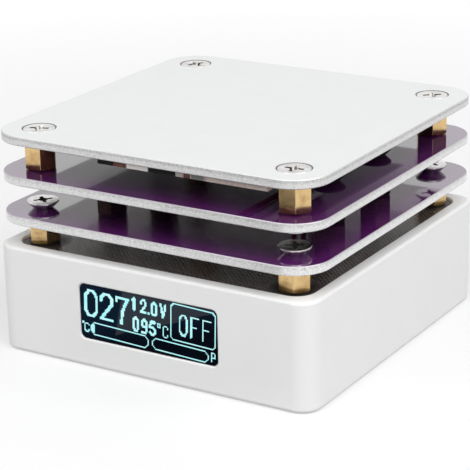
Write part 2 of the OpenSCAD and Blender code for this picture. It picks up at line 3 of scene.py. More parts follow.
import sys
import logging
import math
from collections.abc import Sequence
from dataclasses import dataclass, field
from enum import Enum

import bmesh
import bpy
from mathutils import Matrix, Vector


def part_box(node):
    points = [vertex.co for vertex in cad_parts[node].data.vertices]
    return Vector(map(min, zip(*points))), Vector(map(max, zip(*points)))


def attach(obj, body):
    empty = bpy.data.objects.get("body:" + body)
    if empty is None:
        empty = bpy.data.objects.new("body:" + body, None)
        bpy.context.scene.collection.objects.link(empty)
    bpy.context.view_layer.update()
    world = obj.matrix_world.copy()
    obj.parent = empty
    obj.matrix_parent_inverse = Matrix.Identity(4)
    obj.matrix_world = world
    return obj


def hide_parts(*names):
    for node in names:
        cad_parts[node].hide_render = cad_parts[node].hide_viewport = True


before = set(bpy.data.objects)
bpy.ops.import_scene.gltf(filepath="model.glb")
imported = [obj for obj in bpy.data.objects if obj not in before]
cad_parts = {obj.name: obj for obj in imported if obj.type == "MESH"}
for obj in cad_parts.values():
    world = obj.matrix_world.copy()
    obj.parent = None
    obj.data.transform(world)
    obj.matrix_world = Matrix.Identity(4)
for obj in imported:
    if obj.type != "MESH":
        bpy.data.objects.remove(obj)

LOG = logging.getLogger("hot_plate")
Point = tuple[float, float]
Place = tuple[float, float, float]
Colour = tuple[float, float, float]
Turns = tuple[float, float, float, float]
Socket = bpy.types.NodeSocket
Material = bpy.types.Material

MM = 0.001
# Distance between two corner screws, and from the middle to one of them along each axis
PITCH = 54 * MM
CORNER = 27 * MM
# M3 thread and the bores that it runs in
SHANK = 3 * MM
THREAD = 0.5 * MM
BORE = 3.1 * MM
# Height of a printed or lit layer over its face
LAYER = 0.012 * MM
# Angle in degrees past which an edge stays sharp
SHARP = 32.0
# How far a face looks up, from 1 to -1, past which it is a top face or an underside
LEVEL = 0.9


class Body(Enum):
    """The moving bodies of the hot plate."""

    STAND = "hot_plate"
    MINUS = "minus_key"
    SET = "set_key"
    PLUS = "plus_key"


class Pointing(Enum):
    """Which way a screw's shank points."""

    DOWN = 0.0
    UP = math.pi


# Small helpers


def grey(value: float) -> Colour:
    """Returns a grey of a brightness from 0 to 1."""
    return value, value, value


def scaled(values: Colour | Place, factor: float) -> Colour | Place:
    """Returns a colour or a place times a factor."""
    return tuple(value * factor for value in values)


def quad(left: float, right: float, low: float, high: float) -> list[Point]:
    """Returns the corners of an upright rectangle."""
    return [(left, low), (right, low), (right, high), (left, high)]


def linked(name: str, data: bpy.types.ID) -> bpy.types.Object:
    """Makes an object of a mesh, lamp or camera and links it to the scene.

    Args:
        name: Name of the object.
        data: What it shows.

    Returns:
        The new object.
    """
    made = bpy.data.objects.new(name, data)
    bpy.context.scene.collection.objects.link(made)
    return made


def flat_faces(name: str, rings: Sequence[Sequence[Place]], material: Material) -> bpy.types.Object:
    """Makes an object of separate flat faces.

    Args:
        name: Name of the object.
        rings: Corners of each face.
        material: Their finish.

    Returns:
        The new object.
    """
    mesh = bpy.data.meshes.new(name)
    points: list[Place] = []
    faces: list[tuple[int, ...]] = []
    for ring in rings:
        faces.append(tuple(range(len(points), len(points) + len(ring))))
        points += ring
    mesh.from_pydata(points, [], faces)
    mesh.materials.append(material)
    return linked(name, mesh)


def finished(name: str, mesh: bpy.types.Mesh, sharp: float) -> bpy.types.Object:
    """Turns a mesh's faces outwards, smooths it by angle and links it as an object.

    Args:
        name: Name of the piece.
        mesh: Its mesh.
        sharp: Angle in degrees past which an edge stays sharp.

    Returns:
        The new object.
    """
    work = bmesh.new()
    work.from_mesh(mesh)
    if work.calc_volume(signed=True) < 0.0:
        bmesh.ops.reverse_faces(work, faces=work.faces)
    work.to_mesh(mesh)
    work.free()
    mesh.name = name
    mesh.shade_smooth()
    mesh.set_sharp_from_angle(angle=math.radians(sharp))
    return linked(name, mesh)


def dress(material: Material, *nodes: str) -> None:
    """Gives CAD nodes their finish.

    Args:
        material: The finish.
        nodes: Names of the nodes.
    """
    for node in nodes:
        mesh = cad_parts[node].data
        mesh.materials.clear()
        mesh.materials.append(material)
        LOG.info("%s dressed as %s", node, material.name)


def seated(piece: bpy.types.Object, body: Body, slot: str, *nodes: str) -> None:
    """Hands a piece to the frame.

    Args:
        piece: The piece.
        body: The body that it rides on.
        slot: Name of a material slot; not used.
        nodes: CAD nodes that it stands for.
    """
    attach(piece, body.value)
    if nodes:
        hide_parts(*nodes)
    LOG.info("%s: %d faces on %s", piece.name, len(piece.data.polygons), body.value)


# Node trees


class Graph:
    """A node tree with short calls for its nodes and sums."""

    def __init__(self, tree: bpy.types.NodeTree) -> None:
        """Takes up the tree that the nodes go into."""
        self.tree = tree

    def node(self, kind: str, inputs: dict | None = None, **settings: object) -> bpy.types.Node:
        """Adds a node.

        Args:
            kind: Blender's name of the node.
            inputs: Values or sockets for the node's inputs.
            settings: Properties of the node.

        Returns:
            The new node.
        """
        made = self.tree.nodes.new(kind)
        for key, value in settings.items():
            setattr(made, key, value)
        for key, value in (inputs or {}).items():
            self.put(made.inputs[key], value)
        return made

    def out(self, kind: str, inputs: dict | None = None, **settings: object) -> Socket:
        """Adds a node as node() does, and returns its first output."""
        return self.node(kind, inputs, **settings).outputs[0]

    def put(self, socket: Socket, value: object) -> None:
        """Links a socket or sets its value.

        Args:
            socket: The input.
            value: A socket, a number, a colour or another plain value.
        """
        if isinstance(value, Socket):
            self.tree.links.new(value, socket)
        elif isinstance(value, tuple) and len(value) == 3 and socket.type == "RGBA":
            socket.default_value = (*value, 1.0)
        else:
            socket.default_value = value

    def calc(self, operation: str, *terms: object) -> Socket:
        """Adds a Math node with its operation and terms, and returns its result."""
        return self.out("ShaderNodeMath", dict(enumerate(terms)), operation=operation)

    def chain(self, operation: str, terms: Sequence[object]) -> Socket:
        """Runs one operation over several terms from left to right.

        Args:
            operation: The operation of each Math node.
            terms: The numbers or sockets, two at least.

        Returns:
            The result's socket.
        """
        result = terms[0]
        for term in terms[1:]:
            result = self.calc(operation, result, term)
        return result

    def plus(self, *terms: object) -> Socket:
        """Returns the sum of numbers and sockets."""
        return self.chain("ADD", terms)

    def times(self, *terms: object) -> Socket:
        """Returns the product of numbers and sockets."""
        return self.chain("MULTIPLY", terms)

    def minus(self, first: object, second: object) -> Socket:
        """Returns the first number or socket less the second."""
        return self.calc("SUBTRACT", first, second)

    def rest(self, share: Socket) -> Socket:
        """Returns what a share leaves of one."""
        return self.minus(1.0, share)

    def size_of(self, value: Socket) -> Socket:
        """Returns a value without its sign."""
        return self.calc("ABSOLUTE", value)

    def from_middle(self, value: Socket) -> Socket:
        """Returns how far a share lies from one half."""
        return self.size_of(self.minus(value, 0.5))

    def split(self, vector: Socket) -> tuple[Socket, Socket, Socket]:
        """Returns the x, y and z of a vector."""
        made = self.node("ShaderNodeSeparateXYZ", {0: vector})
        return made.outputs[0], made.outputs[1], made.outputs[2]

    def radius(self, x: Socket, y: Socket) -> Socket:
        """Returns the distance of a flat point from the middle."""
        return self.calc("SQRT", self.plus(self.times(x, x), self.times(y, y)))

    def remap(self, value: Socket, low: float, high: float, out_low: float = 0.0,
              out_high: float = 1.0) -> Socket:
        """Returns a value whose range is mapped onto another and held at both ends."""
        ends = {"Value": value, "From Min": low, "From Max": high, "To Min": out_low, "To Max": out_high}
        return self.out("ShaderNodeMapRange", ends)

    def above(self, value: Socket, limit: float, soft: float = 1e-6) -> Socket:
        """Returns 1 over a limit and 0 below it, where soft is half the width of the change."""
        return self.remap(value, limit - soft, limit + soft)

    def within(self, value: Socket, low: float, high: float, soft: float = 1e-6) -> Socket:
        """Returns 1 between two limits and 0 elsewhere, where soft is half the width of a change."""
        return self.times(self.above(value, low, soft), self.rest(self.above(value, high, soft)))


class Shader(Graph):
    """A Principled material."""

    def __init__(self, name: str) -> None:
        """Starts the material with its Principled shader.

        Args:
            name: Name of the material.
        """
        self.material = bpy.data.materials.new(name)
        self.material.use_nodes = True
        super().__init__(self.material.node_tree)
        self.surface = self.tree.nodes["Principled BSDF"]
        coordinates = self.node("ShaderNodeTexCoord").outputs
        self.place = coordinates["Object"]
        self.normal = coordinates["Normal"]

    def set(self, **values: object) -> None:
        """Sets the shader's own inputs, named with underscores for spaces."""
        for key, value in values.items():
            self.put(self.surface.inputs[key.replace("_", " ")], value)

    def axes(self) -> tuple[Socket, Socket, Socket]:
        """Returns the x, y and z of the point in the frame."""
        return self.split(self.place)

    def up(self) -> Socket:
        """Returns how far a face looks up: 1 straight up, 0 aside, -1 straight down."""
        return self.split(self.normal)[2]

    def stretched(self, along: Place) -> Socket:
        """Returns the coordinates with a scale for each axis, to draw a grain out along one."""
        return self.out("ShaderNodeMapping", {"Vector": self.place, "Scale": along})

    def noise(self, pitch: float, detail: float = 3.0, place: Socket | None = None) -> Socket:
        """Returns a noise round 0.5 from its patch size, octaves and coordinates."""
        made = self.node("ShaderNodeTexNoise", {"Vector": place or self.place, "Scale": 1.0 / pitch,
                                                "Detail": detail, "Roughness": 0.55})
        return made.outputs["Fac"]

    def varied(self, noise: Socket, low: float, high: float) -> Socket:
        """Returns a noise whose usual range is mapped onto another."""
        return self.remap(noise, 0.3, 0.7, low, high)

    def near_corners(self, reach: float, soft: float = 0.01 * MM) -> Socket:
        """Finds the surroundings of the four corner screws.

        Args:
            reach: How far they go from a screw's middle.
            soft: Half the width of their border.

        Returns:
            1 within that distance and 0 elsewhere.
        """
        x, y, _ = self.axes()
        across, along = (self.minus(self.size_of(v), CORNER) for v in (x, y))
        return self.rest(self.above(self.radius(across, along), reach, soft))

    def blend(self, share: object, first: object, second: object) -> Socket:
        """Returns two colours mixed by the share of the second."""
        return self.node("ShaderNodeMix", {0: share, 6: first, 7: second}, data_type="RGBA").outputs[2]

    def relief(self, height: Socket, depth: float, strength: float = 0.5) -> None:
        """Adds a bump to the surface from its height, its real depth and its strength."""
        made = self.node("ShaderNodeBump", {"Height": height, "Distance": depth, "Strength": strength})
        self.put(self.surface.inputs["Normal"], made.outputs[0])


# Finishes


@dataclass(frozen=True)
class Finish:
    """A named finish, painted by its kind."""

    name: str

    def make(self) -> Material:
        """Makes and paints the material.

        Returns:
            The finish's material.
        """
        s = Shader(self.name)
        self.paint(s)
        return s.material

    def paint(self, s: Shader) -> None:
        """Paints the shader, which every kind does in its own way."""
        raise NotImplementedError


def dress_all(finishes: dict[str, Finish]) -> None:
    """Makes finishes and gives each to the CAD node that names it."""
    for node, finish in finishes.items():
        dress(finish.make(), node)


@dataclass(frozen=True)
class MouldedPlastic(Finish):
    """Satin moulded plastic with a fine spark-eroded grain and a rim painted paler, as painted light."""

    name: str = "white_plastic"
    colour: Colour = grey(0.83)
    painted_rim_light: Colour = grey(0.93)
    rim: float = 20.0 * MM
    rough: float = 0.42
    cloud: float = 9 * MM
    wear: float = 0.6 * MM
    grain: float = 0.12 * MM

    def paint(self, s: Shader) -> None:
        """Paints the plastic.

        Args:
            s: The finish's shader.
        """
        _, _, z = s.axes()
        # Painted light: the rim's top faces are painted paler than the walls
        painted_light_on_rim = s.times(s.above(s.up(), 0.93, 0.04), s.above(z, self.rim))
        walls = s.blend(s.noise(self.cloud, 2.0), scaled(self.colour, 0.965), self.colour)
        s.set(Base_Color=s.blend(painted_light_on_rim, walls, self.painted_rim_light), Specular_IOR_Level=0.45,
              Roughness=s.varied(s.noise(self.wear), self.rough - 0.05, self.rough + 0.06))
        s.relief(s.noise(self.grain, 2.0), 0.004 * MM, 0.6)


@dataclass(frozen=True)
class CoatedPlate(Finish):
    """Aluminium plate with a coated top face, sawn edges and its own underside.

    The edge has a fine line below the top face and a pale belt. A dark film may cover the middle of the
    underside, the countersinks' walls may carry painted shade, and painted shade may darken the coat
    towards the middle.
    """

    top: float
    face: Colour
    face_metal: float
    face_rough: float
    under: Colour
    line: Colour
    edge: float
    under_metal: float = 0.9
    edge_metal: float = 0.6
    edge_rough: float = 0.46
    gloss: float = 0.5
    coat: float = 0.0
    cloud: float = 7 * MM
    grain: float = 0.3 * MM
    saw_grain: float = 0.32 * MM
    line_width: float = 0.17 * MM
    belt: tuple[float, float] = (0.68 * MM, 1.5 * MM)
    belt_grain: float = 0.5 * MM
    belt_colour: Colour = grey(0.86)
    belt_share: float = 0.42
    under_shine: float = 0.28
    # Reach and colour of the painted shade on the countersinks' walls round the corner screws
    sink_shade_reach: float = 0.0
    painted_sink_shade: Colour = (0.20, 0.20, 0.205)
    film: float = 0.0
    film_share: float = 0.8
    # Colour of the underside's film and of the painted shade in the coat's middle
    dark: Colour = grey(0.006)
    # Strength and reach of the painted shade that darkens the coat towards the middle
    painted_shade: float = 0.0
    painted_shade_reach: tuple[float, float] = (23 * MM, 32 * MM)

    def paint(self, s: Shader) -> None:
        """Paints the plate from its top face down to its underside.

        Args:
            s: The finish's shader.
        """
        x, y, z = s.axes()
        reach = s.calc("MAXIMUM", s.size_of(x), s.size_of(y))
        up = s.up()
        on_top = s.above(up, LEVEL, 0.02)
        aside = s.rest(on_top)
        below = s.rest(s.above(up, -LEVEL, 0.02))
        face = s.blend(s.noise(self.cloud), scaled(self.face, 0.95), self.face)
        # Painted shade: the coat darkens from its border towards the middle
        if self.painted_shade:
            face = s.blend(s.remap(reach, *self.painted_shade_reach, self.painted_shade, 0.0), face, self.dark)
        sawn = s.remap(s.noise(self.saw_grain), 0.32, 0.68)
        edge = s.blend(sawn, grey(self.edge * 0.60), grey(self.edge * 1.02))
        edge = s.blend(s.above(z, self.top - self.line_width, 0.03 * MM), edge, self.line)
        colour = s.blend(on_top, edge, face)
        belt = s.times(self.find_belt(s, z), aside, self.belt_share)
        colour = s.blend(below, s.blend(belt, colour, self.belt_colour), self.under)
        bare = below
        if self.film:
            covered = s.times(below, s.rest(s.above(reach, self.film, 0.3 * MM)))
            colour = s.blend(covered, colour, self.dark)
            bare = s.minus(below, s.times(covered, self.film_share))
        # Painted shade on the countersinks' walls round the corner screws
        if self.sink_shade_reach:
            colour = s.blend(s.times(aside, s.near_corners(self.sink_shade_reach)), colour, self.painted_sink_shade)
        metal = s.plus(s.times(on_top, self.face_metal), s.times(aside, self.edge_metal))
        metal = s.plus(s.times(metal, s.rest(below)), s.times(bare, self.under_metal))
        rough = s.plus(s.times(on_top, self.face_rough), s.times(aside, self.edge_rough),
                       s.times(below, -self.under_shine), s.varied(s.noise(self.grain, 2.0), -0.02, 0.03))
        s.set(Base_Color=colour, Metallic=metal, Roughness=rough, Specular_IOR_Level=self.gloss,
              Coat_Weight=self.coat, Coat_Roughness=0.03, Coat_IOR=1.6)
        s.relief(s.times(sawn, s.rest(s.times(on_top, 0.94))), 0.03 * MM)

    def find_belt(self, s: Shader, z: Socket) -> Socket:
        """Finds the pale belt of the edge, which has a ragged upper border.

        Args:
            s: The plate's shader.
            z: Height of the point.

        Returns:
            1 on the belt and 0 elsewhere.
        """
        upper, lower = self.belt
        ragged = s.plus(z, s.times(s.minus(s.noise(self.belt_grain, 4.0), 0.5), 0.7 * MM))
        return s.times(s.rest(s.above(ragged, self.top - upper, 0.12 * MM)),
                       s.above(z, self.top - lower, 0.08 * MM))


@dataclass(frozen=True)
class TurnedMetal(Finish):
    """Bright turned metal with fine rings and a little tarnish."""

    colour: Colour
    tarnish: Colour
    rough: float
    ring: float = 0.09 * MM
    stain: float = 2.2 * MM

    def paint(self, s: Shader) -> None:
        """Paints the metal.

        Args:
            s: The finish's shader.
        """
        rings = s.noise(self.ring, 2.0, s.stretched((0.06, 0.06, 1.0)))
        stain = s.remap(s.noise(self.stain, 4.0), 0.46, 0.70)
        s.set(Base_Color=s.blend(stain, self.colour, self.tarnish), Metallic=1.0,
              Roughness=s.varied(rings, self.rough * 0.75, self.rough * 1.35))
        s.relief(rings, 0.006 * MM)


@dataclass(frozen=True)
class HatchedBoard(Finish):
    """Glossy circuit board with a cross-hatched copper pour below its lacquer."""

    name: str = "black_board"
    colour: Colour = (0.010, 0.009, 0.012)
    raised: Colour = (0.140, 0.112, 0.100)
    edge: Colour = (0.22, 0.19, 0.11)
    # Reach of the matt finish and painted shade round the standoffs, 0 for none
    corner: float = 0.0
    pitch: float = 0.7 * MM
    fibre: float = 0.25 * MM

    def paint(self, s: Shader) -> None:
        """Paints the board, matt and with painted shade round the standoffs if it has corners.

        Args:
            s: The finish's shader.
        """
        x, y, _ = s.axes()
        lines = []
        for slant in (s.plus(x, y), s.minus(x, y)):
            wave = s.calc("FRACT", s.calc("DIVIDE", slant, self.pitch * math.sqrt(2.0)))
            lines.append(s.remap(s.from_middle(wave), 0.26, 0.34))
        hatch = s.calc("MAXIMUM", *lines)
        face = s.blend(hatch, self.colour, self.raised)
        rough = s.remap(hatch, 0.0, 1.0, 0.14, 0.26)
        # Painted shade round the standoffs, with a matt finish
        if self.corner:
            matt_and_shade = s.near_corners(self.corner, 1.6 * MM)
            face = s.blend(matt_and_shade, face, scaled(self.colour, 0.3))
            rough = s.plus(rough, s.times(matt_and_shade, 0.6))
        fibre = s.noise(self.fibre, 2.0, s.stretched((1.0, 1.0, 4.0)))
        edge = s.blend(fibre, scaled(self.edge, 0.7), self.edge)
        aside = s.rest(s.above(s.size_of(s.up()), 0.5, 0.05))
        s.set(Base_Color=s.blend(aside, face, edge), Roughness=rough,
              Specular_IOR_Level=0.5, Coat_Weight=0.22, Coat_Roughness=0.12)
        s.relief(hatch, 0.03 * MM)


@dataclass(frozen=True)
class DisplayGlass(Finish):
    """Near-black display glass with a painted navy reflection towards its upper left corner."""

    name: str = "display_glass"
    colour: Colour = (0.0006, 0.0020, 0.0060)
    painted_reflection_tint: Colour = (0.0030, 0.0110, 0.0260)
    lean: float = -0.34
    painted_reflection_band: tuple[float, float] = (8 * MM, 14 * MM)

    def paint(self, s: Shader) -> None:
        """Paints the glass.

        Args:
            s: The finish's shader.
        """
        x, _, z = s.axes()
        # Painted reflection: a soft diagonal navy band over the glass
        across = s.plus(s.times(x, self.lean), z, s.times(s.noise(5 * MM, 2.0), 2 * MM))
        s.set(Base_Color=s.blend(s.remap(across, *self.painted_reflection_band), self.colour, self.painted_reflection_tint),
              Roughness=s.varied(s.noise(2 * MM), 0.02, 0.04), Specular_IOR_Level=0.30)


@dataclass(frozen=True)
class LitPixels(Finish):
    """Cyan display pixels that shine a little unevenly."""

    name: str = "lit_pixels"
    colour: Colour = (0.41, 0.95, 1.0)
    unlit: Colour = (0.02, 0.08, 0.09)
    bright: float = 0.95

    def paint(self, s: Shader) -> None:
        """Paints the pixels.

        Args:
            s: The finish's shader.
        """
        pale = tuple(min(1.0, c * 1.25 + 0.08) for c in self.colour)
        uneven = s.remap(s.noise(1.1 * MM, 2.0), 0.35, 0.65)
        s.set(Base_Color=self.unlit, Roughness=0.25, Emission_Strength=self.bright,
              Emission_Color=s.blend(uneven, self.colour, pale))


@dataclass(frozen=True)
class Compound(Finish):
    """Matt or satin solid material: ceramic, moulding compound, silicone or foam."""

    colour: Colour
    dark: Colour
    rough: float = 0.5
    grain: float = 0.1 * MM
    depth: float = 0.01 * MM
    metal: float = 0.0
    sheen: float = 0.0
    gloss: float = 0.5

    def paint(self, s: Shader) -> None:
        """Paints the material.

        Args:
            s: The finish's shader.
        """
        patch = s.remap(s.noise(self.grain * 6), 0.35, 0.68)
        grain = s.noise(self.grain)
        s.set(Base_Color=s.blend(patch, self.colour, self.dark), Metallic=self.metal,
              Roughness=s.varied(grain, self.rough - 0.06, self.rough + 0.06),
              Sheen_Weight=self.sheen, Specular_IOR_Level=self.gloss)
        s.relief(grain, self.depth, 0.6)


@dataclass(frozen=True)
class BrushedMetal(Finish):
    """Drawn or brushed sheet metal with its grain along one axis."""

    colour: Colour
    along: Place
    rough: float = 0.28
    brush: float = 0.07 * MM

    def paint(self, s: Shader) -> None:
        """Paints the metal.

        Args:
            s: The finish's shader.
        """
        lines = s.noise(self.brush, 3.0, s.stretched(self.along))
        s.set(Base_Color=s.blend(lines, scaled(self.colour, 0.82), self.colour), Metallic=1.0,
              Roughness=s.varied(lines, self.rough - 0.06, self.rough + 0.1))
        s.relief(lines, 0.004 * MM)


@dataclass(frozen=True)
class PackagedChip(Finish):
    """Black moulded chip that hangs from the board, with tinned legs at its top."""

    top: float
    colour: Colour = (0.022, 0.022, 0.024)
    tin: Colour = (0.72, 0.72, 0.70)
    leg: float = 0.16 * MM
    grain: float = 0.08 * MM

    def paint(self, s: Shader) -> None:
        """Paints the chip.

        Args:
            s: The finish's shader.
        """
        _, _, z = s.axes()
        legs = s.above(z, self.top - self.leg, 0.005 * MM)
        s.set(Base_Color=s.blend(legs, self.colour, self.tin), Metallic=legs,
              Roughness=s.remap(legs, 0.0, 1.0, 0.55, 0.3))
        s.relief(s.noise(self.grain, 2.0), 0.008 * MM)


@dataclass(frozen=True)
class EndCappedChip(Finish):
    """Row of chip parts with plated end caps, each with its range of x and its colour."""

    spans: tuple[Point, ...]
    colours: tuple[Colour, ...]
    cap: float
    plating: Colour = (0.34, 0.32, 0.31)
    grain: float = 0.1 * MM

    def paint(self, s: Shader) -> None:
        """Paints the row.

        Args:
            s: The finish's shader.
        """
        x, _, _ = s.axes()
        colour: object = self.colours[0]
        capped: object = 0.0
        for (low, high), own in zip(self.spans, self.colours):
            inside = s.within(x, low, high)
            middle = s.within(x, low + self.cap, high - self.cap, 0.02 * MM)
            colour = s.blend(inside, colour, own)
            capped = s.plus(capped, s.minus(inside, middle))
        grain = s.noise(self.grain, 2.0)
        s.set(Base_Color=s.blend(capped, colour, self.plating), Metallic=capped,
              Roughness=s.varied(grain, 0.34, 0.46))
        s.relief(grain, 0.008 * MM)


@dataclass(frozen=True)
class Fittings:
    """Finishes that several sub-assemblies share, each made once."""

    white: Material = field(default_factory=MouldedPlastic().make)
    brass: Material = field(default_factory=TurnedMetal(
        "brass", (0.72, 0.51, 0.25), (0.50, 0.32, 0.14), 0.15).make)
    # Brass darkened as painted shade, for standoffs deep between the plates
    painted_shade_brass: Material = field(default_factory=TurnedMetal(
        "brass_in_painted_shade", (0.085, 0.055, 0.040), (0.045, 0.030, 0.022), 0.24).make)
    # Near-black finish that stands in for shade on the middle upper screws: painted shade
    black: Material = field(default_factory=Compound(
        "painted_shade_black", grey(0.010), (0.016, 0.015, 0.015), gloss=0.15).make)
    # Lighter painted shade for the crosses of the heating plate's screws
    bright: Material = field(default_factory=TurnedMetal(
        "light_recess_shade", (0.40, 0.38, 0.36), (0.10, 0.085, 0.075), 0.25).make)
    nickel: Material = field(default_factory=TurnedMetal(
        "nickel", (0.76, 0.75, 0.74), (0.58, 0.56, 0.54), 0.2).make)
    recess: Material = field(default_factory=Compound(
        "recess_shade", (0.020, 0.020, 0.021), (0.035, 0.034, 0.034), metal=0.5).make)


# Geometry Nodes


class PartTree(Graph):
    """A Geometry Nodes tree with named sizes that ends in one plain mesh."""

    def __init__(self, name: str, takes_points: bool = False) -> None:
        """Starts the tree.

        Args:
            name: Name of the tree.
            takes_points: True if the pieces stand on the points of the mesh that carries the tree.
        """
        super().__init__(bpy.data.node_groups.new(name, "GeometryNodeTree"))
        if takes_points:
            self.socket("Points", "INPUT", "NodeSocketGeometry")
        self.socket("Part", "OUTPUT", "NodeSocketGeometry")
        self.start = self.node("NodeGroupInput")
        self.end = self.node("NodeGroupOutput")
        self.sizes: dict[str, float] = {}

    def socket(self, name: str, side: str, kind: str) -> bpy.types.NodeTreeInterfaceSocket:
        """Returns a new input or output of the whole tree."""
        return self.tree.interface.new_socket(name=name, in_out=side, socket_type=kind)

    def size(self, label: str, value: float) -> Socket:
        """Adds a named size to the tree.

        Args:
            label: Name of the size.
            value: Its value.

        Returns:
            The socket that gives it.
        """
        identifier = self.socket(label, "INPUT", "NodeSocketFloat").identifier
        self.sizes[identifier] = value
        return next(o for o in self.start.outputs if o.identifier == identifier)

    def half(self, label: str, value: float) -> Socket:
        """Adds a named size to the tree and returns half of it."""
        return self.times(self.size(label, value), 0.5)

    def point(self, x: object, y: object, z: object) -> Socket:
        """Returns a vector socket from three numbers or sockets."""
        return self.out("ShaderNodeCombineXYZ", {0: x, 1: y, 2: z})

    def axes(self) -> tuple[Socket, Socket, Socket]:
        """Returns the x, y and z of each point of a shape."""
        return self.split(self.out("GeometryNodeInputPosition"))

    def placed(self, shape: Socket, position: Socket) -> Socket:
        """Returns a shape whose points are set to new positions."""
        return self.out("GeometryNodeSetPosition", {"Geometry": shape, "Position": position})

    def grid(self, width: object, depth: object, columns: int = 2, rows: int = 2) -> Socket:
        """Returns a flat grid with its numbers of points along x and y."""
        return self.out("GeometryNodeMeshGrid", {"Size X": width, "Size Y": depth, "Vertices X": columns,
                                                 "Vertices Y": rows})

    def pick(self, index: Socket, values: Sequence[object]) -> Socket:
        """Gives one of several values by its number.

        Args:
            index: Number of the value.
            values: The values.

        Returns:
            The chosen value.
        """
        made = self.node("GeometryNodeIndexSwitch", data_type="FLOAT")
        while len(made.index_switch_items) < len(values):
            made.index_switch_items.new()
        for place, value in enumerate((index, *values)):
            self.put(made.inputs[place], value)
        return made.outputs[0]

    def sheet(self, columns: int, rows: int) -> tuple[Socket, Socket, Socket]:
        """Adds a grid to be wrapped into a shape.

        Args:
            columns: Faces round the shape.
            rows: Points along it.

        Returns:
            The grid, its angle from 0 to a full turn, and its row from 0 to 1.
        """
        x, y, _ = self.axes()
        angle = self.times(self.plus(x, 0.5), 2.0 * math.pi)
        return self.grid(1.0, 1.0, columns + 1, rows), angle, self.plus(y, 0.5)

    def wrap(self, sheet: Socket, angle: Socket, radius: Socket, height: Socket) -> Socket:
        """Wraps a sheet round the z axis and closes its seam and poles.

        Args:
            sheet: The grid.
            angle: Angle of each point.
            radius: Radius of each point.
            height: Height of each point.

        Returns:
            The closed shape.
        """
        x, y = (self.times(radius, self.calc(part, angle)) for part in ("COSINE", "SINE"))
        round_shape = self.placed(sheet, self.point(x, y, height))
        return self.out("GeometryNodeMergeByDistance", {"Geometry": round_shape,
                                                        "Distance": 0.002 * MM})

    def turned(self, rows: Sequence[tuple[object, object]], sides: int = 64) -> Socket:
        """Turns a profile into a body.

        Args:
            rows: Radius and height of each corner of the profile.
            sides: Faces round the body.

        Returns:
            The closed body.
        """
        sheet, angle, share = self.sheet(sides, len(rows))
        row = self.calc("ROUND", self.times(share, float(len(rows) - 1)))
        radii, heights = zip(*rows)
        return self.wrap(sheet, angle, self.pick(row, radii), self.pick(row, heights))

    def thread(self, diameter: Socket, length: Socket, pitch: Socket) -> Socket:
        """Makes a threaded shank from z 0 down, with a chamfered tip.

        Args:
            diameter: Outer diameter.
            length: Length of the shank.
            pitch: Pitch of the thread.

        Returns:
            The closed shank.
        """
        sheet, angle, share = self.sheet(32, 72)
        depth = self.times(share, length)
        phase = self.plus(self.calc("DIVIDE", depth, pitch), self.calc("DIVIDE", angle, 2.0 * math.pi))
        ridge = self.times(self.from_middle(self.calc("FRACT", phase)), 1.1, pitch)
        flank = self.minus(self.times(diameter, 0.5), ridge)
        tip = self.minus(self.times(diameter, 0.4), self.times(self.minus(depth, length), 1.2))
        open_ring = self.calc("LESS_THAN", self.from_middle(share), 0.4999)
        radius = self.times(self.calc("MINIMUM", flank, tip), open_ring)
        return self.wrap(sheet, angle, radius, self.times(depth, -1.0))

    def combine(self, operation: str, first: Socket, *others: Socket) -> Socket:
        """Cuts or intersects closed shapes.

        Args:
            operation: DIFFERENCE or INTERSECT.
            first: The first shape.
            others: The other shapes.

        Returns:
            The result.
        """
        made = self.node("GeometryNodeMeshBoolean", operation=operation, solver="EXACT")
        self.put(made.inputs["Mesh 1" if operation == "DIFFERENCE" else "Mesh 2"], first)
        for other in others:
            self.put(made.inputs["Mesh 2"], other)
        return made.outputs["Mesh"]

    def moved(self, shape: Socket, offset: object = (0.0, 0.0, 0.0),
              turn: object = (0.0, 0.0, 0.0)) -> Socket:
        """Returns a shape turned by three angles and moved by an offset."""
        return self.out("GeometryNodeTransform", {"Geometry": shape, "Translation": offset,
                                                  "Rotation": turn})

    def joined(self, *shapes: Socket) -> Socket:
        """Joins shapes.

        Args:
            shapes: The shapes.

        Returns:
            One geometry with all of them.
        """
        made = self.node("GeometryNodeJoinGeometry")
        for shape in shapes:
            self.put(made.inputs[0], shape)
        return made.outputs[0]

    def instances(self, points: Socket, shape: Socket, turn: object = (0.0, 0.0, 0.0)) -> Socket:
        """Returns a shape on each of some points, turned by three angles."""
        return self.out("GeometryNodeInstanceOnPoints", {"Points": points, "Instance": shape,
                                                         "Rotation": turn})

    def at_four(self, shape: Socket, pitch_x: float, pitch_y: float, height: float,
                turns: Turns) -> Socket:
        """Stands a shape on the four corners of a rectangle.

        Args:
            shape: The shape.
            pitch_x: Width of the rectangle.
            pitch_y: Depth of the rectangle.
            height: Height of the shape's origin.
            turns: Turn of each of the four in degrees.

        Returns:
            The four instances.
        """
        corners = self.grid(self.size("Pitch across", pitch_x), self.size("Pitch along", pitch_y))
        lifted = self.moved(corners, self.point(0.0, 0.0, self.size("Height", height)))
        index = self.out("GeometryNodeInputIndex")
        turn = self.pick(index, [math.radians(turn) for turn in turns])
        return self.instances(lifted, shape, self.point(0.0, 0.0, turn))

    def marked(self, shape: Socket, chosen: Socket) -> Socket:
        """Returns a shape with some faces marked for its second finish."""
        inputs = {"Geometry": shape, "Name": "recess", "Value": chosen}
        return self.out("GeometryNodeStoreNamedAttribute", inputs, data_type="BOOLEAN",
                        domain="FACE")

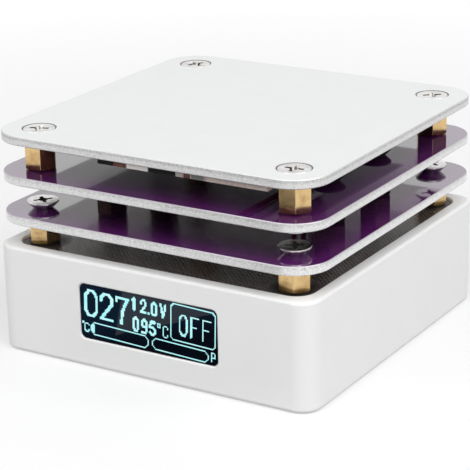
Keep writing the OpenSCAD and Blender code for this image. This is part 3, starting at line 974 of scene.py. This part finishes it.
    def bake(self, name: str, shape: Socket, material: Material, points: bpy.types.Mesh | None = None,
             sharp: float = SHARP, recess: Material | None = None) -> bpy.types.Object:
        """Ends the tree, runs it and keeps the result as a plain mesh.

        Args:
            name: Name of the piece.
            shape: The tree's last shape.
            material: Its finish.
            points: Mesh whose points carry the shape.
            sharp: Angle in degrees past which an edge stays sharp.
            recess: Finish of the marked faces.

        Returns:
            The piece.
        """
        real = self.out("GeometryNodeRealizeInstances", {"Geometry": shape})
        dressed = self.node("GeometryNodeSetMaterial", {"Geometry": real, "Material": material})
        if recess:
            mark = self.node("GeometryNodeInputNamedAttribute", {"Name": "recess"}, data_type="BOOLEAN")
            dressed = self.node("GeometryNodeSetMaterial", {
                "Geometry": dressed.outputs[0], "Selection": mark.outputs[0], "Material": recess})
        self.put(self.end.inputs[0], dressed.outputs[0])
        holder = linked(name + "_tree", points or bpy.data.meshes.new(name + "_tree"))
        modifier = holder.modifiers.new("parts", "NODES")
        modifier.node_group = self.tree
        for identifier, value in self.sizes.items():
            modifier[identifier] = value
        view = bpy.context.evaluated_depsgraph_get()
        mesh = bpy.data.meshes.new_from_object(holder.evaluated_get(view))
        holder.modifiers.remove(modifier)
        bpy.data.objects.remove(holder)
        return finished(name, mesh, sharp)


# The sub-assemblies


@dataclass
class FlatHeadScrews:
    """Four flat-head cross screws on the corners of a rectangle."""

    node: str
    face: float
    length: float = 5 * MM
    pitch_x: float = PITCH
    pitch_y: float = PITCH
    head: float = 6 * MM
    rim: float = 0.32 * MM
    rounding: float = 0.07 * MM
    dip: float = 0.012 * MM
    cross: float = 3.6 * MM
    slot: float = 0.7 * MM
    depth: float = 1.35 * MM
    overlap: float = 0.2 * MM
    pointing: Pointing = Pointing.DOWN
    turns: Turns = (20.0, 62.0, 5.0, 38.0)
    # Width and thickness of the cross's wings: share at mid height, and growth from foot to top
    width_taper: Point = (0.814, 0.62)
    slot_taper: Point = (0.91, 0.3)

    def cutters(self, t: PartTree) -> list[Socket]:
        """Makes the two wings and the pit that cut the cross into a head.

        Args:
            t: The screws' tree.

        Returns:
            The three shapes.
        """
        cross = t.size("Cross width", self.cross)
        slot = t.size("Cross slot", self.slot)
        depth = t.size("Cross depth", self.depth)
        block = t.out("GeometryNodeMeshCube", {"Size": t.point(1.0, 1.0, 1.0)})
        x, y, z = t.axes()
        tapers = (self.width_taper, self.slot_taper)
        wide, thick = (t.plus(t.times(z, growth), middle) for middle, growth in tapers)
        wing = t.placed(block, t.point(t.times(x, cross, wide), t.times(y, slot, thick),
                                       t.times(t.minus(z, 0.3), t.times(depth, 1.25))))
        over = 0.4 * MM
        pit = t.turned([(0.0, t.times(depth, -1.18)), (t.times(slot, 0.5), t.times(depth, -1.0)),
                        (t.times(cross, 0.30), over), (0.0, over)], 24)
        return [wing, t.moved(wing, turn=(0.0, 0.0, math.pi / 2)), pit]

    def build(self, metal: Material, recess: Material) -> None:
        """Builds the four screws.

        Args:
            metal: Finish of the screws.
            recess: Finish of the cross in their heads, a painted shade.
        """
        t = PartTree(self.node)
        head_r = t.half("Head diameter", self.head)
        rim = t.size("Head rim", self.rim)
        shank = t.size("Shank diameter", SHANK)
        shank_r = t.times(shank, 0.5)
        low = t.times(t.plus(rim, t.minus(head_r, shank_r)), -1.0)
        edge = self.rounding
        # Inset from the rim and height of each corner of the rounded crown
        crown = ((1.2 * MM, 0.0), (3 * edge, -self.dip), (0.9 * edge, -0.3 * edge), (0.25 * edge, -edge))
        body = t.turned([
            (0.0, 0.0),
            *((t.minus(head_r, inset), z) for inset, z in crown),
            (head_r, t.times(rim, -0.7)),
            (t.minus(head_r, 0.3 * edge), t.times(rim, -1.15)),
            (t.minus(shank_r, 0.05 * MM), low),
            (0.0, low),
        ])
        cut = t.combine("DIFFERENCE", body, *self.cutters(t))
        x, y, z = t.axes()
        wall = t.plus(t.minus(head_r, 0.3 * MM), z)
        inside = t.times(t.calc("LESS_THAN", z, -0.03 * MM), t.calc("LESS_THAN", t.radius(x, y), wall))
        inside = t.times(inside, t.calc("GREATER_THAN", z, t.plus(low, 0.02 * MM)))
        start = t.plus(low, self.overlap)
        rest = t.minus(t.size("Length", self.length), t.times(start, -1.0))
        stem = t.thread(shank, rest, t.size("Thread pitch", THREAD))
        screw = t.joined(t.marked(cut, inside), t.moved(stem, t.point(0.0, 0.0, start)))
        flip = t.size("Pointing", self.pointing.value)
        screw = t.moved(screw, turn=t.point(flip, 0.0, 0.0))
        four = t.at_four(screw, self.pitch_x, self.pitch_y, self.face, self.turns)
        seated(t.bake(self.node + "_turned", four, metal, recess=recess), Body.STAND, "nickel", self.node)


@dataclass
class HexStandoffs:
    """Four brass hexagon standoffs, with a stud below if they have one."""

    node: str
    foot: float
    length: float
    pitch_x: float = PITCH
    pitch_y: float = PITCH
    flats: float = 5.5 * MM
    chamfer: float = 0.45 * MM
    lead_in: float = 0.2 * MM
    corner: float = 0.12 * MM
    stud: float = 0.0
    blind: float = 1.2 * MM
    turns: Turns = (0.0, 0.0, 0.0, 0.0)

    def prism(self, t: PartTree, tip: Socket, length: Socket) -> Socket:
        """Makes the hexagon that gives a standoff its flats.

        Args:
            t: The standoffs' tree.
            tip: Distance of the hexagon's corners from its middle.
            length: Length of the standoff.

        Returns:
            The prism, longer than the standoff at both ends.
        """
        over = 1 * MM
        ring = t.out("GeometryNodeCurvePrimitiveCircle", {"Resolution": 6, "Radius": tip}, mode="RADIUS")
        soft = t.out("GeometryNodeFilletCurve", {"Curve": ring, "Radius": self.corner, "Count": 4},
                     mode="POLY")
        end = t.point(0.0, 0.0, t.plus(length, over))
        line = t.out("GeometryNodeCurvePrimitiveLine", {"Start": (0.0, 0.0, -over), "End": end})
        return t.out("GeometryNodeCurveToMesh", {"Curve": line, "Profile Curve": soft, "Fill Caps": True})

    def build(self, brass: Material) -> None:
        """Builds the four standoffs.

        Args:
            brass: Finish of the standoffs.
        """
        t = PartTree(self.node)
        length = t.size("Length", self.length)
        tip = t.calc("DIVIDE", t.size("Across flats", self.flats), math.sqrt(3.0))
        chamfer = t.size("End chamfer", self.chamfer)
        bore_r = t.half("Bore diameter", BORE)
        end_r = t.minus(tip, t.calc("DIVIDE", chamfer, math.tan(math.radians(30.0))))
        side_r = t.minus(tip, 0.02 * MM)
        mouth_r = t.plus(bore_r, self.lead_in)
        outside = [(end_r, 0.0), (side_r, chamfer), (side_r, t.minus(length, chamfer)), (end_r, length),
                   (mouth_r, length), (bore_r, t.minus(length, self.lead_in))]
        if self.stud:
            floor = t.size("Blind floor", self.blind)
            rows = [(0.0, 0.0), *outside, (bore_r, floor), (0.0, t.minus(floor, 0.5 * MM))]
        else:
            rows = [(bore_r, self.lead_in), (mouth_r, 0.0), *outside, (bore_r, self.lead_in)]
        one = t.combine("INTERSECT", t.turned(rows, 96), self.prism(t, tip, length))
        if self.stud:
            one = t.joined(one, t.thread(t.size("Stud diameter", SHANK), t.size("Stud length", self.stud),
                                         t.size("Stud pitch", THREAD)))
        four = t.at_four(one, self.pitch_x, self.pitch_y, self.foot, self.turns)
        seated(t.bake(self.node + "_turned", four, brass, sharp=24.0), Body.STAND, "brass", self.node)


@dataclass
class KnurledInserts:
    """Four knurled brass inserts in the base's corner posts."""

    node: str = "threaded_inserts"
    top: float = 18.8 * MM
    length: float = 4 * MM
    outer: float = 4.6 * MM
    groove: float = 0.35 * MM
    teeth: float = 24.0
    tooth_depth: float = 0.035
    turns: Turns = (0.0, 7.0, 3.0, 11.0)

    def build(self, brass: Material) -> None:
        """Builds the four inserts.

        Args:
            brass: Finish of the inserts.
        """
        t = PartTree(self.node)
        outer_r = t.half("Outer diameter", self.outer)
        bore_r = t.half("Bore diameter", BORE)
        length = t.size("Length", self.length)
        groove = t.minus(outer_r, self.groove)
        # Radius and share of the length at each corner of the profile
        steps = ((bore_r, 0.0), (groove, 0.0), (groove, 0.12), (outer_r, 0.14), (outer_r, 0.45),
                 (groove, 0.47), (groove, 0.55), (outer_r, 0.57), (outer_r, 0.98), (groove, 1.0),
                 (bore_r, 1.0), (bore_r, 0.0))
        body = t.turned([(radius, t.times(length, share)) for radius, share in steps], 96)
        x, y, _ = t.axes()
        tooth = t.calc("SINE", t.times(t.calc("ARCTAN2", y, x), t.size("Teeth", self.teeth)))
        outside = t.calc("GREATER_THAN", t.radius(x, y), t.minus(outer_r, 0.05 * MM))
        share = t.times(t.minus(tooth, 1.0), t.times(outside, self.tooth_depth))
        toothed = t.out("GeometryNodeSetPosition", {"Geometry": body, "Offset": t.point(
            t.times(x, share), t.times(y, share), 0.0)})
        four = t.at_four(toothed, PITCH, PITCH, self.top - self.length, self.turns)
        seated(t.bake(self.node + "_knurled", four, brass), Body.STAND, "brass", self.node)


@dataclass
class Stack:
    """The three plates with their screws and standoffs."""

    deck: float = 20.4 * MM
    lower_top: float = 27.1 * MM
    upper_top: float = 34.8 * MM
    heat_top: float = 42.5 * MM
    plate: float = 1.7 * MM
    proud: float = 1.5 * MM
    sunk: float = 0.05 * MM
    middle: Point = (48 * MM, 18 * MM)
    silver: Colour = (0.785, 0.797, 0.796)
    satin: Colour = (0.36, 0.36, 0.35)
    purple: Colour = (0.104, 0.015, 0.130)
    bare: Colour = (0.26, 0.24, 0.235)
    pink: Colour = (0.42, 0.38, 0.42)

    def dress_plates(self) -> None:
        """Gives the three plates their finishes."""
        silver = CoatedPlate("silver_plate", top=self.heat_top, face=self.silver, face_metal=0.35,
                             face_rough=0.36, under=self.satin, line=grey(0.60), edge=0.67,
                             gloss=0.15, sink_shade_reach=3.4 * MM, film=23 * MM)
        dress(silver.make(), "heating_plate")
        for node, top, edge in (("lower_shield_plate", self.lower_top, 0.82),
                                ("upper_shield_plate", self.upper_top, 0.74)):
            purple = CoatedPlate(node, top=top, face=self.purple, face_metal=0.0, face_rough=0.07,
                                 under=self.bare, line=self.pink, edge=edge, coat=1.0, painted_shade=0.75)
            dress(purple.make(), node)

    def build_fasteners(self, fit: Fittings) -> None:
        """Builds the standoffs and screws between the plates.

        Args:
            fit: The shared finishes.
        """
        lower_face = self.lower_top - self.plate - self.proud
        upper_face = self.upper_top - self.plate - self.proud
        HexStandoffs("lower_standoffs", self.deck, 5 * MM, stud=5 * MM,
                     turns=(13.6, 5.0, -7.4, 9.0)).build(fit.brass)
        # The middle standoffs take brass darkened as painted shade
        HexStandoffs("middle_standoffs", self.lower_top, 6 * MM, *self.middle).build(fit.painted_shade_brass)
        HexStandoffs("upper_standoffs", self.upper_top, 6 * MM, turns=(4.5, 0.0, 2.7, 0.0)).build(fit.brass)
        FlatHeadScrews("heating_plate_screws", self.heat_top - self.sunk, 4 * MM).build(
            fit.nickel, fit.bright)
        FlatHeadScrews("lower_plate_screws", self.lower_top + self.proud,
                       turns=(50.0, 12.0, 33.0, 71.0)).build(fit.nickel, fit.recess)
        # The middle upper screws are black as painted shade
        FlatHeadScrews("middle_upper_screws", self.upper_top + self.proud, 5 * MM, *self.middle,
                       turns=(15.0, 55.0, 80.0, 30.0)).build(fit.black, fit.recess)
        FlatHeadScrews("middle_lower_screws", lower_face, 5 * MM, *self.middle,
                       pointing=Pointing.UP).build(fit.nickel, fit.recess)
        FlatHeadScrews("upper_plate_screws", upper_face, pointing=Pointing.UP).build(fit.nickel, fit.recess)


@dataclass
class HeaterParts:
    """The row of parts below the heating plate and their leads."""

    cap: float = 0.2 * MM
    pale: Colour = (0.70, 0.65, 0.64)
    brown: Colour = (0.34, 0.31, 0.30)
    dark: Colour = grey(0.12)

    def spans(self, node: str) -> tuple[Point, ...]:
        """Returns the ranges of x that a node's solids take, from left to right."""
        xs = sorted({round(v.co.x, 6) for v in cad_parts[node].data.vertices})
        return tuple(zip(xs[0::2], xs[1::2]))

    def dress(self) -> None:
        """Gives the row and the leads their finishes."""
        dress_all({
            "ceramic_chips": EndCappedChip("ceramic_chips", self.spans("ceramic_chips"),
                                           (self.pale, self.brown, self.dark), cap=self.cap),
            "sensor_chip": Compound("sensor_black", grey(0.006), grey(0.012), 0.6, gloss=0.1),
            "thermal_fuse": Compound("fuse_black", grey(0.005), grey(0.010), 0.6, gloss=0.1),
            "copper_tabs": Compound("copper", (0.14, 0.055, 0.042), (0.08, 0.034, 0.028), 0.42,
                                    0.12 * MM, metal=0.6, gloss=0.2),
            "heater_terminal": Compound("terminal_beige", (0.50, 0.42, 0.39), (0.38, 0.31, 0.29),
                                        grain=0.12 * MM, gloss=0.3),
            "heater_leads": Compound("white_silicone", (0.82, 0.82, 0.80), (0.72, 0.72, 0.70),
                                     grain=0.15 * MM),
            "sensor_leads": Compound("red_silicone", (0.50, 0.030, 0.024), (0.38, 0.02, 0.02), 0.45,
                                     0.12 * MM),
        })


# Strokes of the display's signs in a box of one by one, y down
STROKES: dict[str, tuple[tuple[Point, ...], ...]] = {
    "0": (((0.0, 0.2), (0.0, 0.8), (0.3, 1.0), (0.7, 1.0), (1.0, 0.8), (1.0, 0.2), (0.7, 0.0),
           (0.3, 0.0), (0.0, 0.2)),),
    "1": (((0.15, 0.18), (0.5, 0.0), (0.5, 1.0)),),
    "2": (((0.0, 0.26), (0.05, 0.12), (0.3, 0.0), (0.7, 0.0), (1.0, 0.16), (1.0, 0.36), (0.0, 1.0),
           (1.0, 1.0)),),
    "5": (((1.0, 0.0), (0.05, 0.0), (0.0, 0.46), (0.6, 0.4), (1.0, 0.58), (1.0, 0.82), (0.7, 1.0),
           (0.25, 1.0), (0.0, 0.86)),),
    "7": (((0.0, 0.12), (0.0, 0.0), (1.0, 0.0), (0.55, 0.5), (0.45, 1.0)),),
    "9": (((1.0, 0.42), (0.7, 0.54), (0.3, 0.54), (0.0, 0.38), (0.0, 0.16), (0.3, 0.0), (0.7, 0.0),
           (1.0, 0.16), (1.0, 0.84), (0.7, 1.0), (0.1, 1.0)),),
    ".": (((0.0, 1.0), (0.3, 1.0)),),
    "P": (((0.0, 1.0), (0.0, 0.0), (0.75, 0.0), (1.0, 0.14), (1.0, 0.4), (0.75, 0.54), (0.0, 0.54)),),
    "V": (((0.0, 0.0), (0.5, 1.0), (1.0, 0.0)),),
    "C": (((1.0, 0.2), (0.7, 0.0), (0.3, 0.0), (0.0, 0.2), (0.0, 0.8), (0.3, 1.0), (0.7, 1.0),
           (1.0, 0.8)),),
    "F": (((1.0, 0.0), (0.0, 0.0), (0.0, 1.0)), ((0.0, 0.48), (0.7, 0.48))),
}


@dataclass
class Screen:
    """The display: its glass, its lit pixels, its board, tape and header."""

    face: float = -33.45 * MM
    top: float = 16.2 * MM
    columns: int = 124
    pitch: float = 0.2325 * MM
    fill: float = 0.97
    skew: float = math.radians(2.1)
    pivot: Point = (-12.5 * MM, 11 * MM)
    cells: set[tuple[int, int]] = field(default_factory=set)

    def stroke(self, a: Point, b: Point, thick: float) -> None:
        """Lights the pixels along a line.

        Args:
            a: Start in pixels.
            b: End in pixels.
            thick: Thickness in pixels.
        """
        reach = thick / 2.0 + 0.05
        ax, ay, bx, by = *a, *b
        span = max((bx - ax) ** 2 + (by - ay) ** 2, 1e-9)
        for px in range(int(min(ax, bx) - reach) - 1, int(max(ax, bx) + reach) + 2):
            for py in range(int(min(ay, by) - reach) - 1, int(max(ay, by) + reach) + 2):
                share = ((px - ax) * (bx - ax) + (py - ay) * (by - ay)) / span
                share = min(1.0, max(0.0, share))
                off = math.hypot(px - ax - share * (bx - ax), py - ay - share * (by - ay))
                if off <= reach:
                    self.cells.add((px, py))

    def sign(self, sign: str, x: float, y: float, w: float, h: float, thick: float) -> None:
        """Draws one sign.

        Args:
            sign: The sign, one of STROKES.
            x: Its left end in pixels.
            y: Its top in pixels.
            w: Its width.
            h: Its height.
            thick: Thickness of its strokes.
        """
        for line in STROKES[sign]:
            for (ax, ay), (bx, by) in zip(line, line[1:]):
                self.stroke((x + ax * w, y + ay * h), (x + bx * w, y + by * h), thick)

    def frame_line(self, x: float, y: float, w: float, h: float, corner: float) -> None:
        """Draws a box with cut corners.

        Args:
            x: Its left end in pixels.
            y: Its top.
            w: Its width.
            h: Its height.
            corner: Size of a cut corner.
        """
        c = corner
        ring = [(x + c, y), (x + w - c, y), (x + w, y + c), (x + w, y + h - c), (x + w - c, y + h),
                (x + c, y + h), (x, y + h - c), (x, y + c), (x + c, y)]
        for a, b in zip(ring, ring[1:]):
            self.stroke(a, b, 0.9)

    def draw(self) -> None:
        """Lights the display's plain readings: numbers with units, a state and two bars."""
        for index, digit in enumerate("027"):
            self.sign(digit, 3 + 14.7 * index, 3.6, 10.4, 21, 2.6)
        for digit, x in (("1", 46.8), ("2", 55.4), ("0", 65.3), ("V", 73.6)):
            self.sign(digit, x, 0.8, 4.4, 10, 1.9)
        self.sign(".", 62.2, 0.8, 1, 10, 2.0)
        for index, digit in enumerate("095"):
            self.sign(digit, 48.5 + 7.7 * index, 17, 4.3, 10.4, 1.9)
        self.sign("0", 70.9, 16.6, 2.2, 3.6, 0.9)
        self.sign("C", 75.7, 17.6, 4.6, 9.6, 1.1)
        for box in ((83, -3, 40, 30.4, 2.4), (8, 30, 54, 10, 3), (66, 30, 51, 9, 3)):
            self.frame_line(*box)
        for index, letter in enumerate("0FF"):
            self.sign(letter, 91 + 10.4 * index, 5, 6.6, 16.4, 1.4)
        for x in (9.2, 10.4):
            self.stroke((x, 32.5), (x, 38), 1.5)
        self.sign("0", 0.2, 30.8, 1, 1, 0.8)
        self.sign("C", 2.0, 31.8, 4.2, 7, 1.0)
        self.sign("P", 119.6, 30.4, 3.8, 7.0, 1.0)

    def light(self) -> None:
        """Builds the lit pixels, one tile on each of their places."""
        left = -self.columns / 2.0 * self.pitch
        places = [(left + (x + 0.5) * self.pitch, self.face - LAYER, self.top - (y + 0.9) * self.pitch)
                  for x, y in sorted(self.cells)]
        mesh = bpy.data.meshes.new("pixel_places")
        mesh.from_pydata(places, [], [])
        t = PartTree("display_pixels", takes_points=True)
        side = t.times(t.size("Pixel pitch", self.pitch), t.size("Fill", self.fill))
        tile = t.moved(t.grid(side, side), turn=(math.pi / 2, 0.0, 0.0))
        many = t.instances(t.start.outputs[0], tile)
        middle = Vector((self.pivot[0], 0.0, self.pivot[1]))
        shift = middle - Matrix.Rotation(self.skew, 3, "Y") @ middle
        many = t.moved(many, tuple(shift), (0.0, self.skew, 0.0))
        pixels = t.bake("display_pixels", many, LitPixels().make(), points=mesh)
        seated(pixels, Body.STAND, "display_glass")

    def build(self) -> None:
        """Builds the pixels and dresses the display's pieces."""
        self.draw()
        self.light()
        dress_all({
            "display_glass": DisplayGlass(),
            "display_tape": Compound("black_foam", grey(0.03), grey(0.05), 0.85, 0.2 * MM, 0.03 * MM,
                                     sheen=0.2),
            "display_board": HatchedBoard("blue_board", (0.01, 0.03, 0.16), (0.02, 0.06, 0.24)),
            "display_header": Compound("header_black", grey(0.02), grey(0.03)),
        })


@dataclass
class Base:
    """The moulded base, the board that closes it and what is on the board's underside."""

    # Reach of the painted shade and matt finish round the main board's standoffs
    matt_shade_reach: float = 4.2 * MM

    def dress(self, white: Material) -> None:
        """Gives the base and its electronics their finishes.

        Args:
            white: Finish of the housing.
        """
        dress(white, "base_housing")
        chips = ("control_chip", "power_transistor")
        dress_all({node: PackagedChip(node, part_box(node)[1].z) for node in chips})
        dress_all({
            "main_board": HatchedBoard(corner=self.matt_shade_reach),
            "inductor": Compound("ferrite", (0.10, 0.105, 0.115), (0.16, 0.165, 0.17), 0.6, 0.2 * MM,
                                 0.02 * MM),
            "capacitor_can": BrushedMetal("can_aluminium", (0.78, 0.79, 0.80), (1.0, 1.0, 0.1)),
            "capacitor_base": Compound("seat_black", grey(0.02), grey(0.03), 0.55),
        })


@dataclass
class RearPanel:
    """The power inlets, the switches and the three marked buttons in the rear wall."""

    buttons_x: Place = (4.5 * MM, 12 * MM, 19.5 * MM)
    buttons_z: float = 14.6 * MM
    face: float = 33.9 * MM
    mark: float = 1.5 * MM
    stroke: float = 0.34 * MM

    def ring(self, steps: int = 32) -> list[list[Point]]:
        """Draws the ring that marks the set button.

        Args:
            steps: Number of faces round the ring.

        Returns:
            The corners of each face.
        """
        outer = self.mark / 2
        inner = outer - self.stroke
        faces = []
        for index in range(steps):
            a, b = (2 * math.pi * (index + k) / steps for k in (0, 1))
            corners = ((inner, a), (outer, a), (outer, b), (inner, b))
            faces.append([(reach * math.cos(angle), reach * math.sin(angle)) for reach, angle in corners])
        return faces

    def print_marks(self) -> None:
        """Prints minus, a ring and plus on the buttons."""
        ink = Compound("mark_grey", (0.10, 0.10, 0.105), (0.13, 0.13, 0.135), 0.6).make()
        half, thin = self.mark / 2, self.stroke / 2
        bar = quad(-half, half, -thin, thin)
        up, down = quad(-thin, thin, thin, half), quad(-thin, thin, -half, -thin)
        marks = (("minus_mark", [bar], Body.MINUS), ("set_mark", self.ring(), Body.SET),
                 ("plus_mark", [bar, up, down], Body.PLUS))
        for (name, shapes, body), x in zip(marks, self.buttons_x):
            rings = [[(x - u, self.face + LAYER, self.buttons_z + v) for u, v in shape] for shape in shapes]
            seated(flat_faces(name, rings, ink), body, "black_part")

    def build(self, fit: Fittings) -> None:
        """Dresses the panel and marks its buttons.

        Args:
            fit: The shared finishes.
        """
        black = Compound("inlet_black", (0.018, 0.018, 0.019), (0.03, 0.03, 0.031), 0.48, 0.12 * MM)
        steel = BrushedMetal("usb_steel", (0.66, 0.66, 0.67), (1.0, 0.08, 1.0))
        dress(black.make(), "power_jack", "switch_bodies", "usb_tongue")
        dress(fit.nickel, "jack_pin")
        dress(steel.make(), "usb_shell")
        dress(fit.white, "minus_button", "set_button", "plus_button")
        self.print_marks()


# The studio


@dataclass
class Studio:
    """Camera, floor, world, lamps and the black cards that polished faces mirror."""

    camera: Place = (0.18001, -0.29590, 0.13846)
    right: Place = (0.854761, 0.518659, -0.019398)
    up: Place = (-0.154113, 0.289315, 0.944746)
    back: Place = (0.495614, -0.804543, 0.327228)
    lens: float = 145.626
    shift: Point = (0.00551, -0.00867)
    sky: float = 0.34
    floor_size: float = 3.0
    floor_depth: float = 0.02 * MM
    floor_grey: float = 0.50
    lift: float = 0.42
    clearing: Point = (0.10, 0.34)
    # Black cards in millimetres: corners of those on the floor, feet of the upright ones, heights
    flags: tuple[tuple[Point, ...], ...] = (
        ((-52, -150), (16, -150), (16, -79), (-14, -79), (-14, -104), (-52, -104)),
        ((-45, -72), (-32, -72), (-17, -47.2), (-15.5, -50.9), (-10.1, -58.5), (-8.9, -62.1), (-4.8, -67.4),
         (24, -67.4), (24, -36), (-24, -36)))
    cards: tuple[tuple[Point, Point], ...] = (((-260, -200), (60, -240)), ((230, -110), (230, 110)))
    flag_height: float = 0.5
    card_heights: Point = (60.0, 150.0)

    def set_camera(self) -> None:
        """Sets the camera at the photograph's place."""
        data = bpy.data.cameras.new("camera")
        data.lens = self.lens
        data.sensor_width = 36.0
        data.shift_x, data.shift_y = self.shift
        data.clip_start, data.clip_end = 0.01, 20.0
        camera = linked("camera", data)
        columns = Matrix((self.right, self.up, self.back)).transposed()
        camera.matrix_world = Matrix.Translation(self.camera) @ columns.to_4x4()
        bpy.context.scene.camera = camera

    def seen(self, g: Graph) -> Socket:
        """Finds the rays that show the studio itself.

        Args:
            g: The tree that asks.

        Returns:
            1 for rays from the camera, from a glossy face and through glass, 0 for others.
        """
        path = g.node("ShaderNodeLightPath").outputs
        direct = g.calc("MAXIMUM", path["Is Camera Ray"], path["Is Glossy Ray"])
        return g.calc("MAXIMUM", direct, path["Is Transmission Ray"])

    def set_world(self) -> None:
        """Sets an even world that shows white behind the object."""
        world = bpy.data.worlds.new("studio")
        bpy.context.scene.world = world
        world.use_nodes = True
        g = Graph(world.node_tree)
        ground = g.tree.nodes["Background"]
        g.put(ground.inputs["Color"], grey(1.0))
        g.put(ground.inputs["Strength"], g.remap(self.seen(g), 0.0, 1.0, self.sky, 1.0))

    def lay_floor(self) -> None:
        """Lays a pale floor that shows near white and keeps the object's shadow."""
        s = Shader("floor")
        seen = self.seen(s)
        reach = s.node("ShaderNodeVectorMath", {0: s.place}, operation="LENGTH").outputs["Value"]
        near, wide = self.clearing
        far = s.out("ShaderNodeMapRange", {"Value": reach, "From Min": near, "From Max": wide},
                    interpolation_type="SMOOTHSTEP")
        glow = s.remap(far, 0.0, 1.0, self.lift, 1.0)
        s.set(Base_Color=s.blend(s.times(far, seen), grey(self.floor_grey), grey(0.0)), Roughness=0.9,
              Specular_IOR_Level=0.1, Emission_Color=grey(1.0), Emission_Strength=s.times(seen, glow))
        half = self.floor_size / 2
        corners = [(x, y, 0.0) for x, y in quad(-half, half, -half, half)]
        floor = flat_faces("floor", [corners], s.material)
        floor.location.z = -self.floor_depth

    def lay_flags(self) -> None:
        """Sets black cards ahead and to the right, that only show in polished faces."""
        s = Shader("flags")
        s.set(Base_Color=grey(0.02), Roughness=0.9)
        low, high = self.card_heights
        rings = [[(x, y, self.flag_height) for x, y in flag] for flag in self.flags]
        rings += [[(*a, low), (*b, low), (*b, high), (*a, high)] for a, b in self.cards]
        flags = flat_faces("flags", [[scaled(place, MM) for place in ring] for ring in rings], s.material)
        flags.visible_camera = False
        flags.visible_diffuse = False
        flags.visible_transmission = False
        flags.visible_shadow = False

    def lamp(self, name: str, place: Vector, power: float) -> None:
        """Hangs a square soft lamp that looks at the object.

        Args:
            name: Name of the lamp.
            place: Its place.
            power: Its power in watts.
        """
        data = bpy.data.lights.new(name, "AREA")
        data.shape = "SQUARE"
        data.size = 1.0
        data.energy = power
        made = linked(name, data)
        made.location = place
        made.rotation_mode = "QUATERNION"
        made.rotation_quaternion = (place - Vector((0, 0, 0.02))).to_track_quat("Z", "Y")

    def build(self) -> None:
        """Sets up the whole studio."""
        self.set_camera()
        self.set_world()
        self.lay_floor()
        self.lay_flags()
        self.lamp("front", Vector((-0.11, -0.70, 0.70)), 6.1)
        self.lamp("right", Vector((0.70, -0.11, 0.70)), 7.9)
        bpy.context.scene.view_settings.view_transform = "Standard"
        LOG.info("studio ready")


def main() -> None:
    """Builds the dressed hot plate piece by piece."""
    logging.basicConfig(level=logging.INFO, format="%(name)s: %(message)s", stream=sys.stdout)
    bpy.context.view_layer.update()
    Studio().build()
    fit = Fittings()
    Base().dress(fit.white)
    Screen().build()
    RearPanel().build(fit)
    stack = Stack()
    stack.dress_plates()
    stack.build_fasteners(fit)
    KnurledInserts().build(fit.brass)
    HeaterParts().dress()


if __name__ == "__main__":
    main()
